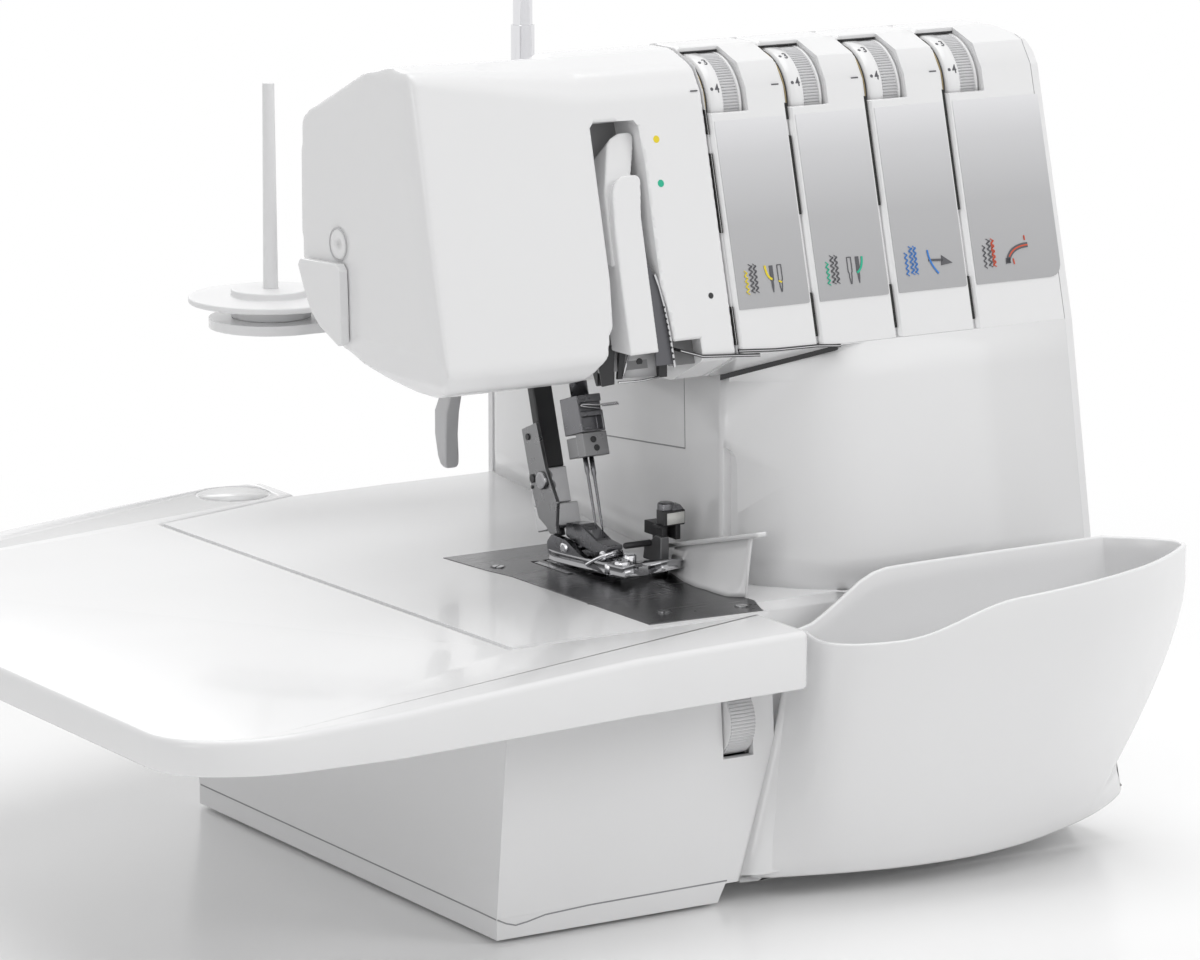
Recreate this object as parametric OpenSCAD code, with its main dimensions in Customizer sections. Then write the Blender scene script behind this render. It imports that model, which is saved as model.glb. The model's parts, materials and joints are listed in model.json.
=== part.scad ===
// Four-thread overlock machine with its extension table and waste bin.
// Bench frame: X to the right, Y to the back, Z up, zero at the front left corner of the base.

/* [Casing] */
// Width of the casing without the handwheel
casing_w = 282; // [278:1:286]
// Height of the sewing bed
bed_h = 108; // [106:0.5:110]
// Height of the top of the casing
top_h = 311; // [309:1:314]
// Depth of the lower casing
casing_d = 292; // [290:1:296]
// Thickness of the plastic walls
wall = 3; // [2.4:0.2:3.2]

/* [Thread columns] */
// Number of thread columns
columns = 4; // [4:1:4]
// Left edge of the first column cover
column_x = 128; // [127:0.5:129]
// Distance between columns
column_pitch = 36.4; // [36:0.1:36.8]
// Width of the thread slot between two covers
thread_slot = 1.8; // [1.4:0.1:2.2]
// Radius of a tension dial
dial_r = 20; // [19.6:0.1:20.2]
// Width of the window that a dial stands in
dial_window = 18; // [17.5:0.1:18.5]

/* [Sewing head] */
// Lean of the needle bar and the presser bar
lean = 17; // [16:0.5:18]
// Radius of the needle bar
needle_bar_r = 3.6; // [3.4:0.1:3.8]
// Radial clearance of a bar or shaft in its bush
fit = 0.05; // [0.03:0.01:0.08]

/* [Table and bin] */
// Length of the extension table left of the base
table_reach = 160; // [150:1:165]
// Thickness of the table's top
table_t = 3; // [2.5:0.5:3]
// Height of the waste bin's back
bin_h = 119.5; // [117:0.5:120]

/* [Spool stand] */
// Distance between spool pins
spool_pitch = 69; // [68:0.5:70]
// Radius of a spool disc
spool_r = 33; // [31:0.5:33.5]
// Height of the pole's top above the table that the machine stands on
pole_top_h = 540; // [520:5:560]

/* [Hidden] */
$fn = 64;

// Front surface: leans back from the floor to the panel's foot, then more along the sloping panel
panel_z = 200;
panel_y = 34.8;
panel_slope = 0.259;
function front_y(z) = panel_y * z / panel_z;
function panel_y_at(z) = panel_y + (z - panel_z) * panel_slope;
panel_angle = atan(panel_slope);

base_z = 9.5;
foot_h = 1.5;
side_t = 3.2;
side_x = casing_w - side_t;
rear_y = casing_d - side_t;
shelf_z = 186;
head_rear_y = 212;
arm_z = 189;
arm_x = 75.2;
arm_front_y = 57;
brow_z = 297;
roof_y = 96;
roof_rear_z = 257;
corner_x = 134.6;
corner_y = 58;

// Head mechanism: leaning frame with its origin where the needle meets the bed
needle_x = 105;
needle_y = 95;
presser_back = 28;

// Shafts across the machine
shaft_y = 140;
shaft_z = 78;
motor_y = 226;
motor_z = 118;
belt_x = 259;
belt_w = 8;

// Dials
dial_y = 80.6;
dial_z = 288.5;
dial_window_z = 288.4;
dial_window_rear = 79.5;
cover_t = 2;
label_z = 217;
label_h = 71;
label_t = 0.3;
width_dial_r = 14;
width_dial_x = 101.6;
width_dial_w = 11.4;
width_dial_y = 14;
width_dial_z = 68;

// Spool stand and pole
stand_y = 256;
stand_z = 190;
first_spool_x = 49;
pole_x = 152.5;
pole_y = 232;
pole_r = 4.8;
pole_joint_z = 303;

// Origin: bottom centre of the whole object's box
box_left = 1 - table_reach;
box_right = casing_w + 27;
box_front = -63.9;
box_rear = 323.5;
center_x = (box_left + box_right) / 2;
center_y = (box_front + box_rear) / 2;

white = [0.93, 0.93, 0.93];
steel = [0.72, 0.73, 0.75];
dark = [0.12, 0.12, 0.13];
brass = [0.80, 0.66, 0.35];
grey = [0.62, 0.63, 0.64];

function unit(v) = v / norm(v);
// Outline moved inwards by d; the points run anticlockwise
function inset(p, d) = [
    for (i = [0:len(p) - 1])
        let (
            b = p[i],
            u = unit(b - p[(i + len(p) - 1) % len(p)]),
            v = unit(p[(i + 1) % len(p)] - b),
            n = [-u.y, u.x],
            m = [-v.y, v.x]
        )
        b + d * (n + m) / (1 + n * m)
];
// Points of a bow from p to q that bulges to the right by rise
function bow(p, q, rise, steps) = [
    for (i = [0:steps])
        let (t = i / steps, d = unit(q - p))
        p + (q - p) * t + [d.y, -d.x] * rise * 4 * t * (1 - t)
];
// Points of an arc about c
function arc(c, r, a0, a1, steps) = [
    for (i = [0:steps])
        let (a = a0 + (a1 - a0) * i / steps)
        c + r * [cos(a), sin(a)]
];
function column_left(i) = column_x + column_pitch * i;
function rib_x(i) = column_left(i) + dial_window;
function column_right(i) = i == columns - 1 ? side_x - 0.3 : column_left(i + 1) - thread_slot;

module bench() translate([-center_x, -center_y, 0]) children();
module along_x(x0, x1) translate([x0, 0, 0]) rotate([90, 0, 90]) linear_extrude(x1 - x0) children();
module along_y(y0, y1) translate([0, y1, 0]) rotate([90, 0, 0]) linear_extrude(y1 - y0) children();
module slab(z, h = 0.01) translate([0, 0, z]) linear_extrude(h) children();
module rod_x(x0, x1, y, z, r) translate([x0, y, z]) rotate([0, 90, 0]) cylinder(r = r, h = x1 - x0);
module rod_y(y0, y1, x, z, r) translate([x, y0, z]) rotate([-90, 0, 0]) cylinder(r = r, h = y1 - y0);
module rod_z(z0, z1, x, y, r) translate([x, y, z0]) cylinder(r = r, h = z1 - z0);
module box(x0, x1, y0, y1, z0, z1) translate([x0, y0, z0]) cube([x1 - x0, y1 - y0, z1 - z0]);
// Frame that leans with the needle bar
module leaning() translate([needle_x, needle_y, bed_h]) rotate([-lean, 0, 0]) children();
// Frame of the sloping panel: local Z is up along it, local Y goes in
module on_panel(z) translate([0, panel_y_at(z), z]) rotate([-panel_angle, 0, 0]) children();

// ---------------------------------------------------------------- casings

base_outline = [
    [0, 0], [100, 0], [104, 14], [side_x, 14], [side_x, 286], [119, 286], [119, 230], [0, 230]
];
base_hollow = [
    [wall, wall], [95, wall], [95, 25.8], [side_x - wall, 25.8], [side_x - wall, 283], [122, 283],
    [122, 227], [wall, 227]
];

module base_pan() color(white) bench() {
    box(97, split_x, 0, 14.5, base_z - 1.2, base_z);
    pan();
}
module pan() difference() {
    slab(foot_h, base_z - foot_h) polygon(base_outline);
    slab(foot_h + wall, base_z) polygon(base_hollow);
    // the front slopes back under the waste bin, and so does the end of the bed's part
    along_x(100.5, casing_w) polygon([[0, 0], [28, 0], [28, foot_h], [14, base_z], [0, base_z]]);
    along_y(-1, 28.5) polygon([[96, 0], [101, 0], [101, base_z], [100, base_z], [96, foot_h]]);
    for (p = foot_places) rod_z(0, base_z, p.x, p.y, 4.01);
}

foot_places = [[20, 20], [20, 212], [128, 44], [258, 44], [258, 268]];

module rubber_feet() color(dark) bench() for (p = foot_places) {
    rod_z(0, foot_h, p.x, p.y, 9);
    rod_z(foot_h, foot_h + wall, p.x, p.y, 4);
}

// Lower casing: the bed block on the left, the drive block on the right
split_x = 123.5;
bed_foot = [[0, 0], [split_x, 0], [split_x, 230], [0, 230]];
bed_top = [[11.5, 8], [split_x, 8], [split_x, rear_y], [74, 287], [5, 267]];
module bed_block(d) hull() {
    slab(base_z) polygon(inset(bed_foot, d));
    slab(bed_h - d) polygon(inset(bed_top, d));
}
// Plan of the tower at a height where its front left corner is at (x, y); the side cover closes its right
tower_right = side_x + 8;
function tower_plan(x, y) = [
    [corner_x, corner_y], [x, y], [tower_right, y], [tower_right, rear_y], [171, rear_y]
];
module tower_block(d, z0, z1) hull() {
    slab(z0) polygon(inset(tower_plan(166, front_y(bed_h)), d));
    slab(z1) polygon(inset(tower_plan(173, panel_y), d));
}

// Outline of the needle plate: straight on the left, wavy beside the knives
plate_outline = [
    [73.5, 12.2], [122, 9.8], [128.6, 26], [127.6, 43], [127.4, 60], [128.6, 77], [118.9, 153],
    [67.4, 152.5], [70, 123], [72.6, 109]
];
plate_t = 1.6;

module main_casing() color(white) bench() difference() {
    union() {
        bed_block(0);
        along_x(split_x, side_x) polygon([
            [14, base_z], [286, base_z], [rear_y, bed_h], [front_y(bed_h) + 3.5, bed_h],
            [front_y(18) + 3.5, 18]]);
        intersection() {
            tower_block(0, bed_h - 0.01, panel_z);
            along_x(0, side_x) polygon([
                [0, bed_h - 1], [casing_d, bed_h - 1], [casing_d, shelf_z], [head_rear_y, shelf_z],
                [head_rear_y, panel_z], [0, panel_z]]);
        }
    }
    // hollow of the bed, the drive block and the tower
    hull() {
        slab(base_z - 1) polygon(inset(bed_foot, wall));
        slab(bed_h - wall) polygon(inset(bed_top, wall));
    }
    along_x(split_x - wall - 1, casing_w) polygon([
        [17.5, base_z - 1], [283, base_z - 1], [rear_y - wall, bed_h - 10],
        [rear_y - wall, bed_h - wall], [front_y(bed_h) + 6.5, bed_h - wall], [front_y(20) + 6.5, 20]]);
    intersection() {
        tower_block(wall, bed_h - 4, panel_z + 1);
        along_x(0, casing_w + 1) polygon([
            [0, bed_h - 5], [rear_y - wall, bed_h - 5], [rear_y - wall, shelf_z - wall],
            [head_rear_y - wall, shelf_z - wall], [head_rear_y - wall, panel_z + 2], [0, panel_z + 2]]);
    }
    // open back behind the rear cover
    box(176, 270, rear_y - wall - 1, casing_d, 24, 176);
    // window behind the looper cover
    along_y(-1, 40) polygon([[126, 20], [270, 20], [270, 98], [133, 98], [126, 90]]);
    // recess for the needle plate, its opening for the loopers, and the way for the upper looper
    slab(bed_h - plate_t, 3) polygon(inset(plate_outline, -0.3));
    box(80, 122, 34, 146, bed_h - 6, bed_h + 1);
    box(118, 130.2, 70, 102, bed_h - 8, bed_h + 1);
    // window for the cutting-width dial
    box(width_dial_x - 1, width_dial_x + width_dial_w + 1, -2, 12, width_dial_z - 13, width_dial_z + 14);
}

// Outline of the head seen from the right
function head_outline(z0) = [
    [panel_y_at(z0), z0], [head_rear_y, z0], [head_rear_y, roof_rear_z], [roof_y, top_h],
    [80, top_h], [66, top_h - 5], [panel_y_at(brow_z), brow_z]
];
side_outline = [
    [14, base_z], [286, base_z], [casing_d, bed_h], [casing_d, shelf_z],
    [head_rear_y, shelf_z], [head_rear_y, roof_rear_z], [roof_y, top_h], [80, top_h],
    [66, top_h - 5], [panel_y_at(brow_z), brow_z], [panel_y, panel_z], [front_y(18), 18]
];
inlet_y = 236;
inlet_z = 42;
switch_z = 78;
stitch_y = 74;
stitch_z = 118;
differential_z = 66;
side_dial_r = 15;

module side_cover() color(white) bench() difference() {
    along_x(side_x, casing_w) polygon(side_outline);
    rod_x(side_x - 1, casing_w + 1, shaft_y, shaft_z, 6);
    for (z = [stitch_z, differential_z]) rod_x(side_x - 1, casing_w + 1, stitch_y, z, 4 + fit);
    box(side_x - 1, casing_w + 1, inlet_y - 14, inlet_y + 14, inlet_z - 11, inlet_z + 11);
    box(side_x - 1, casing_w + 1, inlet_y - 11.5, inlet_y + 11.5, switch_z - 8, switch_z + 8);
    for (i = [0:6]) box(side_x - 1, casing_w + 1, 200, 250, 116 + i * 8, 119 + i * 8);
}

module rear_cover() color(white) bench() difference() {
    union() {
        along_x(171.5, side_x) polygon([
            [rear_y, bed_h], [casing_d, bed_h], [casing_d, shelf_z], [rear_y, shelf_z]]);
        along_x(171.5, side_x) polygon([
            [286, base_z], [289.2, base_z], [casing_d, bed_h], [rear_y, bed_h]]);
    }
    for (i = [0:8]) box(196, 254, rear_y - 1, casing_d + 1, 60 + i * 7, 63 + i * 7);
}

slot_outline = [[70, 190], [109, 190], [108, 204], [100.5, 241], [95.8, 285], [93, 288], [70, 288]];

// Outline of the head left of the tower, with its sloping underside
arm_outline = [
    [panel_y, panel_z], [arm_front_y, arm_z], [head_rear_y, arm_z], [head_rear_y, roof_rear_z],
    [roof_y, top_h], [80, top_h], [66, top_h - 5], [panel_y_at(brow_z), brow_z]
];
arm_right = 173.5;
rib_t = 2.4;

module head_casing() color(white) bench() difference() {
    union() {
        along_x(arm_x, arm_right) polygon(arm_outline);
        along_x(corner_x, side_x) polygon(head_outline(panel_z));
    }
    tower_block(0, bed_h, panel_z);
    along_x(arm_x + wall, column_x - 4) polygon(inset(arm_outline, wall));
    // hollow behind the column covers, with a rib beside each dial that holds its spindle
    difference() {
        union() {
            along_x(column_x - 4, arm_right) polygon(inset(arm_outline, wall + cover_t));
            along_x(corner_x + 20, casing_w) polygon([for (p = inset(head_outline(panel_z), wall + cover_t))
                p.y < panel_z + 8 ? [p.x, panel_z - 1] : p]);
        }
        for (i = [0:columns - 1])
            box(rib_x(i), rib_x(i) + rib_t, 50, 97, 272, top_h);
    }
    // seat of the column covers
    along_x(column_x - 1, casing_w) polygon(concat(
        [[0, panel_z + 0.3]], cover_inner, [[roof_y, top_h + 2], [0, top_h + 2]]));
    // way into the head cover, slot of the take-up covers, dial wells, lamp window, lifter slot
    along_x(arm_x - 1, arm_x + wall + 1) polygon([[62, 206], [142, 206], [142, 276], [98, 298], [72, 298]]);
    along_y(0, 80) polygon(slot_outline);
    for (i = [0:columns - 1])
        box(column_left(i), rib_x(i), 40, 95, dial_z - dial_r - 1, top_h + 1);
    box(112, 128, 66, 92, arm_z - 1, arm_z + wall + 1);
    box(81, 99, 168, head_rear_y + 1, arm_z - 1, 198);
    leaning() cylinder(r = needle_bar_r + 2, h = 120);
    leaning() translate([0, presser_back, 0]) cylinder(r = needle_bar_r + 2, h = 120);
}

// ---------------------------------------------------------------- head cover

pod_side = [
    [34, 208], [44, 197], [56, 193], [69, 192], [96, 196], [116, 204], [144, 227], [151, 240],
    [151, 272], [144, 286], [roof_y, top_h], [80, top_h], [66, top_h - 5], [panel_y_at(brow_z), brow_z]
];
pod_front = [
    [1, 222], [5, 205], [14, 196], [26, 190], [52, 190], [62, 196], [70.5, 206], [73.5, 216],
    [arm_x, 232], [arm_x, 316], [10, 316], [5, 304], [2, 280]
];
module head_cover() color(white) bench() difference() {
    intersection() {
        along_x(0, arm_x) polygon(pod_side);
        along_y(20, 160) polygon(pod_front);
    }
    intersection() {
        along_x(0, arm_x + 1) polygon(inset(pod_side, wall));
        along_y(20, 160) polygon([
            for (p = inset(pod_front, wall)) p.x > arm_x - 2 * wall ? [arm_x + 2, p.y] : p]);
    }
    rod_x(0, 7, plug_y, plug_z, plug_r);
    cutter_peg();
}
plug_y = 120;
plug_z = 240.5;
plug_r = 7.5;
module head_plug() color(white) bench() rod_x(3.2, 5.5, plug_y, plug_z, plug_r);

// Peg that holds the thread cutter in the head cover
module cutter_peg() box(0.5, 3.2, 124, 138, 216, 230);
module thread_cutter() color(white) bench() difference() {
    union() {
        along_x(-3.2, 0.6) polygon([
            [146, 240], [151, 236], [146, 210], [137, 196], [124, 191], [117, 196], [112, 233], [116, 237]]);
        cutter_peg();
    }
    along_x(-4, -1.4) polygon([[110, 232], [114.5, 234], [115.5, 222], [118, 205], [110, 205]]);
}

// ---------------------------------------------------------------- thread columns

cover_inner = [
    [panel_y_at(panel_z + 0.3) + cover_t, panel_z + 0.3], [panel_y_at(brow_z) + cover_t, brow_z - 0.6],
    [67.3, top_h - 6.6], [80.4, top_h - cover_t], [roof_y, top_h - cover_t]
];
cover_side = concat(cover_inner, [
    [roof_y, top_h], [80, top_h], [66, top_h - 5], [panel_y_at(brow_z), brow_z],
    [panel_y_at(panel_z + 0.3), panel_z + 0.3]
]);
module column_cover(i) color(white) bench() difference() {
    along_x(column_left(i), column_right(i)) polygon(cover_side);
    box(column_left(i) - 1, rib_x(i), 0, dial_window_rear, dial_window_z, top_h + 1);
}
module column_cover_1() column_cover(0);
module column_cover_2() column_cover(1);
module column_cover_3() column_cover(2);
module column_cover_4() column_cover(3);

module column_labels() color(steel) bench() for (i = [0:columns - 1])
    on_panel(label_z) translate([column_left(i) + 3, -label_t, 0])
        cube([column_right(i) - column_left(i) - 4.5, label_t, label_h]);

module tension_dial(i) color(grey) bench() difference() {
    union() {
        rod_x(column_left(i) + 2.2, column_left(i) + 8.4, dial_y, dial_z, dial_r);
        rod_x(column_left(i) + 8.4, column_left(i) + 15, dial_y, dial_z, dial_r - 0.8);
        rod_x(column_left(i) + 15, rib_x(i) - 0.8, dial_y, dial_z, dial_r);
    }
    rod_x(column_left(i), column_left(i) + 20, dial_y, dial_z, 3 + fit);
}
module tension_dial_1() tension_dial(0);
module tension_dial_2() tension_dial(1);
module tension_dial_3() tension_dial(2);
module tension_dial_4() tension_dial(3);

// Each spindle carries a pair of brass discs left of its dial
module tension_discs() color(brass) bench() for (i = [0:columns - 1]) {
    rod_x(column_left(i) + 0.3, rib_x(i), dial_y, dial_z, 3);
    rod_x(column_left(i) + 0.3, column_left(i) + 0.9, dial_y, dial_z, dial_r - 2);
    rod_x(column_left(i) + 1.1, column_left(i) + 1.7, dial_y, dial_z, dial_r - 2);
}

module take_up_covers() color(white) bench() {
    intersection() {
        along_y(0, 100) polygon([[84, 205], [95, 204], [88.5, 266], [86, 271], [78.5, 271], [78, 264]]);
        along_x(0, 200) polygon([[panel_y_at(200) + 1, 200], [panel_y_at(200) + 15, 200],
            [panel_y_at(275) + 15, 275], [panel_y_at(275) + 1, 275]]);
    }
    intersection() {
        along_y(0, 100) polygon([[97, 206], [101.5, 206], [97, 243], [92.5, 285], [90, 287.5], [79.5, 287.5],
            [78, 274], [88, 274], [90.5, 267]]);
        along_x(0, 200) polygon([[panel_y_at(200) + 4, 200], [panel_y_at(200) + 15, 200],
            [panel_y_at(290) + 15, 290], [panel_y_at(290) + 4, 290]]);
    }
    // legs down to the floor of the head
    for (x = [84, 97.4]) {
        box(x, x + 3, 40, 86, 206.5, 209);
        box(x, x + 3, 82, 86, arm_z + wall, 209);
    }
}

// ---------------------------------------------------------------- needle plate and knives

module needle_plate() color(steel) bench() difference() {
    slab(bed_h - plate_t, plate_t + 0.2) polygon(plate_outline);
    for (p = plate_screw_places) rod_z(bed_h - 5, bed_h + 2, p.x, p.y, 2.2);
    box(needle_x - 4, needle_x + 4, 90, 99, bed_h - 5, bed_h + 5);
    for (x = [94, 99.5, 109, 114.5]) box(x - 1.6, x + 1.6, 100, 128, bed_h - 5, bed_h + 5);
}
plate_screw_places = [[76.5, 126], [89, 27], [118.5, 19]];
module plate_screws() color(steel) bench() for (p = plate_screw_places)
    rod_z(bed_h - plate_t, bed_h + 0.5, p.x, p.y, 2.2);

// Guard that turns the trimmings down into the bin
module chip_guard() color(white) bench() {
    along_x(130.3, 132.2) polygon([[34, bed_h], [68, bed_h], [84, bed_h + 4], [84, 113.5], [34, 126.9]]);
    along_x(124, 133) polygon([[84, 113.5], [84, 115.3], [24, 131.4], [24, 129.6]]);
}

knife_x = 127.9;
module lower_knife() color(steel) bench()
    box(knife_x - 2.3, knife_x - 0.3, 87, 98, bed_h - 18, bed_h - 2);
module upper_knife() color(steel) bench() {
    box(knife_x, knife_x + 1.8, 87, 96, 72, bed_h + 20);
    box(121, knife_x + 1.8, 90, 96, bed_h + 16, bed_h + 20);
}

// ---------------------------------------------------------------- frame and drive

take_up_y = 108;
take_up_z = 231;
lifter_y = 186;
lifter_z = 200;
motor_r = 31;
module machine_frame() color(steel) bench() difference() {
    union() {
        slab(foot_h + wall, 6) polygon([
            [86, 30], [272, 30], [272, 270], [180, 270], [150, 212], [40, 212], [40, 60], [86, 60]]);
        // upright, arm and nose of the head
        box(180, 200, 90, 262, foot_h + wall, 160);
        box(180, 200, 90, 205, 160, 246);
        box(96, 200, 172, 205, 214, 240);
        leaning() translate([-11, -8, 105]) cube([22, 60, 45]);
        // front shaft bearing
        box(140, 150, 120, 160, foot_h + wall, 96);
        // pivots of the take-up lever and the lifter lever
        box(96, 102.6, 103, 132, 226, 236);
        rod_x(102, 106, take_up_y, take_up_z, 2);
        box(96.4, 101, 176, 192, 195, 230);
        rod_x(83, 97, lifter_y, lifter_z, 2.5);
    }
    leaning() cylinder(r = needle_bar_r + 2.4, h = 200);
    leaning() translate([0, presser_back, 0]) cylinder(r = needle_bar_r + 2.4, h = 200);
    rod_x(130, 210, shaft_y, shaft_z, 8);
    rod_x(176, 256, motor_y, motor_z, motor_r);
}

// Stands of the loopers, the knives and the cutting-width dial, on the frame's floor
stand_z0 = foot_h + wall + 6;
module looper_stands() color(steel) bench() difference() {
    union() {
        box(92, 108, 58, 66, stand_z0, 50);
        rod_y(65, 80, lower_looper_x, lower_looper_z, 3);
        box(knife_x + 2.2, 146, 90.6, 97, stand_z0, 96);
        rod_y(78, 91, upper_looper_x, upper_looper_z, 3);
        box(121, knife_x - 2.3, 90, 98, stand_z0, bed_h - 4);
        for (x = [94, 114.3]) {
            box(x, x + 3, 9.4, 34, 40, 74);
            box(x, x + 3, 26, 34, stand_z0, 74);
        }
    }
    rod_x(90, 120, width_dial_y, width_dial_z, 2.5 + fit);
}

module ring_x(x0, x1, y, z, r_out, r_in) difference() {
    rod_x(x0, x1, y, z, r_out);
    rod_x(x0 - 1, x1 + 1, y, z, r_in);
}
module bar_bush(y, z) leaning() translate([0, y, z]) difference() {
    cylinder(r = needle_bar_r + 2.4, h = 12);
    translate([0, 0, -1]) cylinder(r = needle_bar_r + fit, h = 14);
}
module bushes() color(brass) bench() {
    for (y = [0, presser_back], z = [105, 138]) bar_bush(y, z);
    ring_x(140, 150, shaft_y, shaft_z, 8, 5 + fit);
    ring_x(180, 200, shaft_y, shaft_z, 8, 5 + fit);
}
module main_shaft() color(steel) bench() {
    rod_x(128, 300, shaft_y, shaft_z, 5);
    rod_x(belt_x - 1, belt_x + belt_w + 1, shaft_y, shaft_z, 26);
    rod_x(157, 168, shaft_y + 4, shaft_z, 12);
}
module drive_motor() color(dark) bench() {
    rod_x(186, 250, motor_y, motor_z, motor_r);
    rod_x(250, 256, motor_y, motor_z, 12);
}
module motor_pulley() color(steel) bench() rod_x(257, belt_x + belt_w + 1, motor_y, motor_z, 9);
module drive_belt() color(dark) bench() along_x(belt_x, belt_x + belt_w) difference() {
    hull() {
        translate([motor_y, motor_z]) circle(r = 11.4);
        translate([shaft_y, shaft_z]) circle(r = 28.4);
    }
    hull() {
        translate([motor_y, motor_z]) circle(r = 9.4);
        translate([shaft_y, shaft_z]) circle(r = 26.4);
    }
}
module circuit_board() color([0.1, 0.35, 0.2]) bench() {
    box(206, 270, 262, 264, foot_h + wall + 6, 96);
    box(214, 240, 250, 262, 30, 54);
    box(248, 262, 254, 262, 62, 84);
}
module power_inlet() color(dark) bench() difference() {
    union() {
        box(side_x - 22, casing_w, inlet_y - 13.8, inlet_y + 13.8, inlet_z - 10.8, inlet_z + 10.8);
        box(casing_w, casing_w + 1.2, inlet_y - 16, inlet_y + 16, inlet_z - 13, inlet_z + 13);
    }
    box(casing_w - 16, casing_w + 2, inlet_y - 11, inlet_y + 11, inlet_z - 8, inlet_z + 8);
}
module power_switch() color(dark) bench() {
    translate([casing_w - 5, inlet_y, switch_z - 7.4]) rotate([0, 0, -7]) linear_extrude(14.8)
        polygon([[-3, -10], [6, -10], [5, 0], [6, 10], [-3, 10]]);
    rod_z(switch_z - 9, switch_z + 9, casing_w - 5, inlet_y, 1.5);
}
module light_lens() color([0.95, 0.95, 0.85]) bench() box(112, 128, 66, 92, arm_z, arm_z + 2);

module handwheel() color(white) bench() difference() {
    union() {
        rod_x(casing_w + 1, casing_w + 22, shaft_y, shaft_z, 36);
        rod_x(casing_w + 22, casing_w + 27, shaft_y, shaft_z, 20);
    }
    rod_x(casing_w - 1, 300.1, shaft_y, shaft_z, 5);
    ring_x(casing_w, casing_w + 14, shaft_y, shaft_z, 32, 12);
}

// ---------------------------------------------------------------- needles, loopers and feed

module needle_bar() color(steel) bench() leaning() translate([0, 0, 67]) cylinder(r = needle_bar_r, h = 110);
// Set screws that hold the needles in the clamp, or their holes
module set_screws(y, r, h)
    for (z = [49.5, 55]) translate([-0.5, y, z]) rotate([-90, 0, 0]) cylinder(r = r, h = h);
module needle_clamp() bench() leaning() {
    color(steel) difference() {
        translate([-8, -6, 45]) cube([16, 12, 22]);
        set_screws(-7, 1.25, 5);
        for (x = [-1.2, 1.2]) translate([x, 0, 40]) cylinder(r = 0.56, h = 10);
    }
    color(dark) set_screws(-5.6, 1.2, 3.4);
}
module needles() color(steel) bench() leaning() for (s = [-1, 1])
    translate([s * 1.2, 0, s < 0 ? 19 : 17.5]) {
        translate([0, 0, 5]) cylinder(r = 0.55, h = s < 0 ? 26 : 27.5);
        cylinder(r1 = 0.1, r2 = 0.55, h = 5);
    }
module take_up_lever() color(steel) bench() difference() {
    along_x(103, 105) polygon([
        [45, 206], [50, 205], [62, 228], [106, 226], [112, 227], [112, 235], [106, 236], [58, 238],
        [46, 226]]);
    rod_x(102, 106, take_up_y, take_up_z, 2 + fit);
}

looper_y = 82;
lower_looper_x = 100;
lower_looper_z = 40;
upper_looper_x = 136;
upper_looper_z = 52;
module lower_looper() color(steel) bench() difference() {
    union() {
        along_y(looper_y - 10, looper_y - 7) polygon([
            [lower_looper_x - 5, 36], [lower_looper_x + 5, 36], [lower_looper_x + 3, 84], [96, 92],
            [80, 95], [80, 93.5], [94, 88], [lower_looper_x - 3, 82]]);
        rod_y(looper_y - 14, looper_y - 4, lower_looper_x, lower_looper_z, 7);
    }
    rod_y(60, 90, lower_looper_x, lower_looper_z, 3 + fit);
}
module upper_looper() color(steel) bench() difference() {
    union() {
        along_y(looper_y, looper_y + 3) polygon([
            [upper_looper_x - 4, 48], [upper_looper_x + 6, 50], [upper_looper_x + 4, 76], [127, 96],
            [118, 101], [117, 99.5], [124, 93], [upper_looper_x - 5, 74]]);
        rod_y(looper_y - 2, looper_y + 7, upper_looper_x, upper_looper_z, 7);
    }
    rod_y(70, 100, upper_looper_x, upper_looper_z, 3 + fit);
}
module feed_dogs() color(steel) bench() {
    for (x = [94, 99.5, 109, 114.5]) box(x - 1.2, x + 1.2, 102, 126, bed_h - 8, bed_h + 0.3);
    box(92.8, 115.7, 102, 126, bed_h - 12, bed_h - 8);
}

// ---------------------------------------------------------------- presser foot

module presser_bar() color(dark) bench() leaning() translate([0, presser_back, 50])
    cylinder(r = needle_bar_r, h = 100);
foot_pin_y = 126;
foot_pin_z = bed_h + 13;
module foot_holder() color(steel) bench() {
    leaning() {
        translate([-9, presser_back - 4, 38]) cube([3, 10, 22]);
        translate([-9, presser_back - 5, 36]) cube([17, 12, 14]);
        translate([-5, presser_back - 4, 17]) cube([9.6, 8, 21]);
    }
    rod_x(95, 112, foot_pin_y, foot_pin_z, 1.6);
}
sole_z = bed_h + 0.9;
module presser_foot() color(steel) bench() difference() {
    union() {
        along_x(needle_x - 12, needle_x + 13) polygon([
            [70, sole_z + 6], [76, sole_z], [130, sole_z], [134, sole_z + 3.6], [133, sole_z + 4],
            [80, sole_z + 4], [72, sole_z + 8]]);
        for (x = [95.6, 110]) along_x(x, x + 3) polygon([
            [118, sole_z + 3], [132, sole_z + 3], [130, sole_z + 15], [122, sole_z + 15]]);
    }
    box(needle_x - 4, needle_x + 4, 88, 101, sole_z - 1, sole_z + 12);
    rod_x(90, 120, foot_pin_y, foot_pin_z, 1.6 + fit);
}
module lifter_lever() color(grey) bench() difference() {
    union() {
        along_x(84, 96) polygon([
            [183, 198], [189, 198], [194, 168], [191, 138], [188, 134], [184, 136], [185, 166]]);
        rod_x(84, 96, lifter_y, lifter_z, 5);
    }
    rod_x(80, 100, lifter_y, lifter_z, 2.5 + fit);
}

// ---------------------------------------------------------------- looper cover, bin and table

module looper_cover() color(white) bench() {
    rod_x(140, 260, front_y(13) + 1.5, 13, 1.5);
    along_x(split_x + 1, side_x - 0.4) polygon([
    [front_y(13), 13], [front_y(13) + 3, 13], [front_y(bed_h - 2.9) + 3, bed_h - 3.9],
    [front_y(bed_h - 2.9), bed_h - 2.9]]);
}

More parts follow.
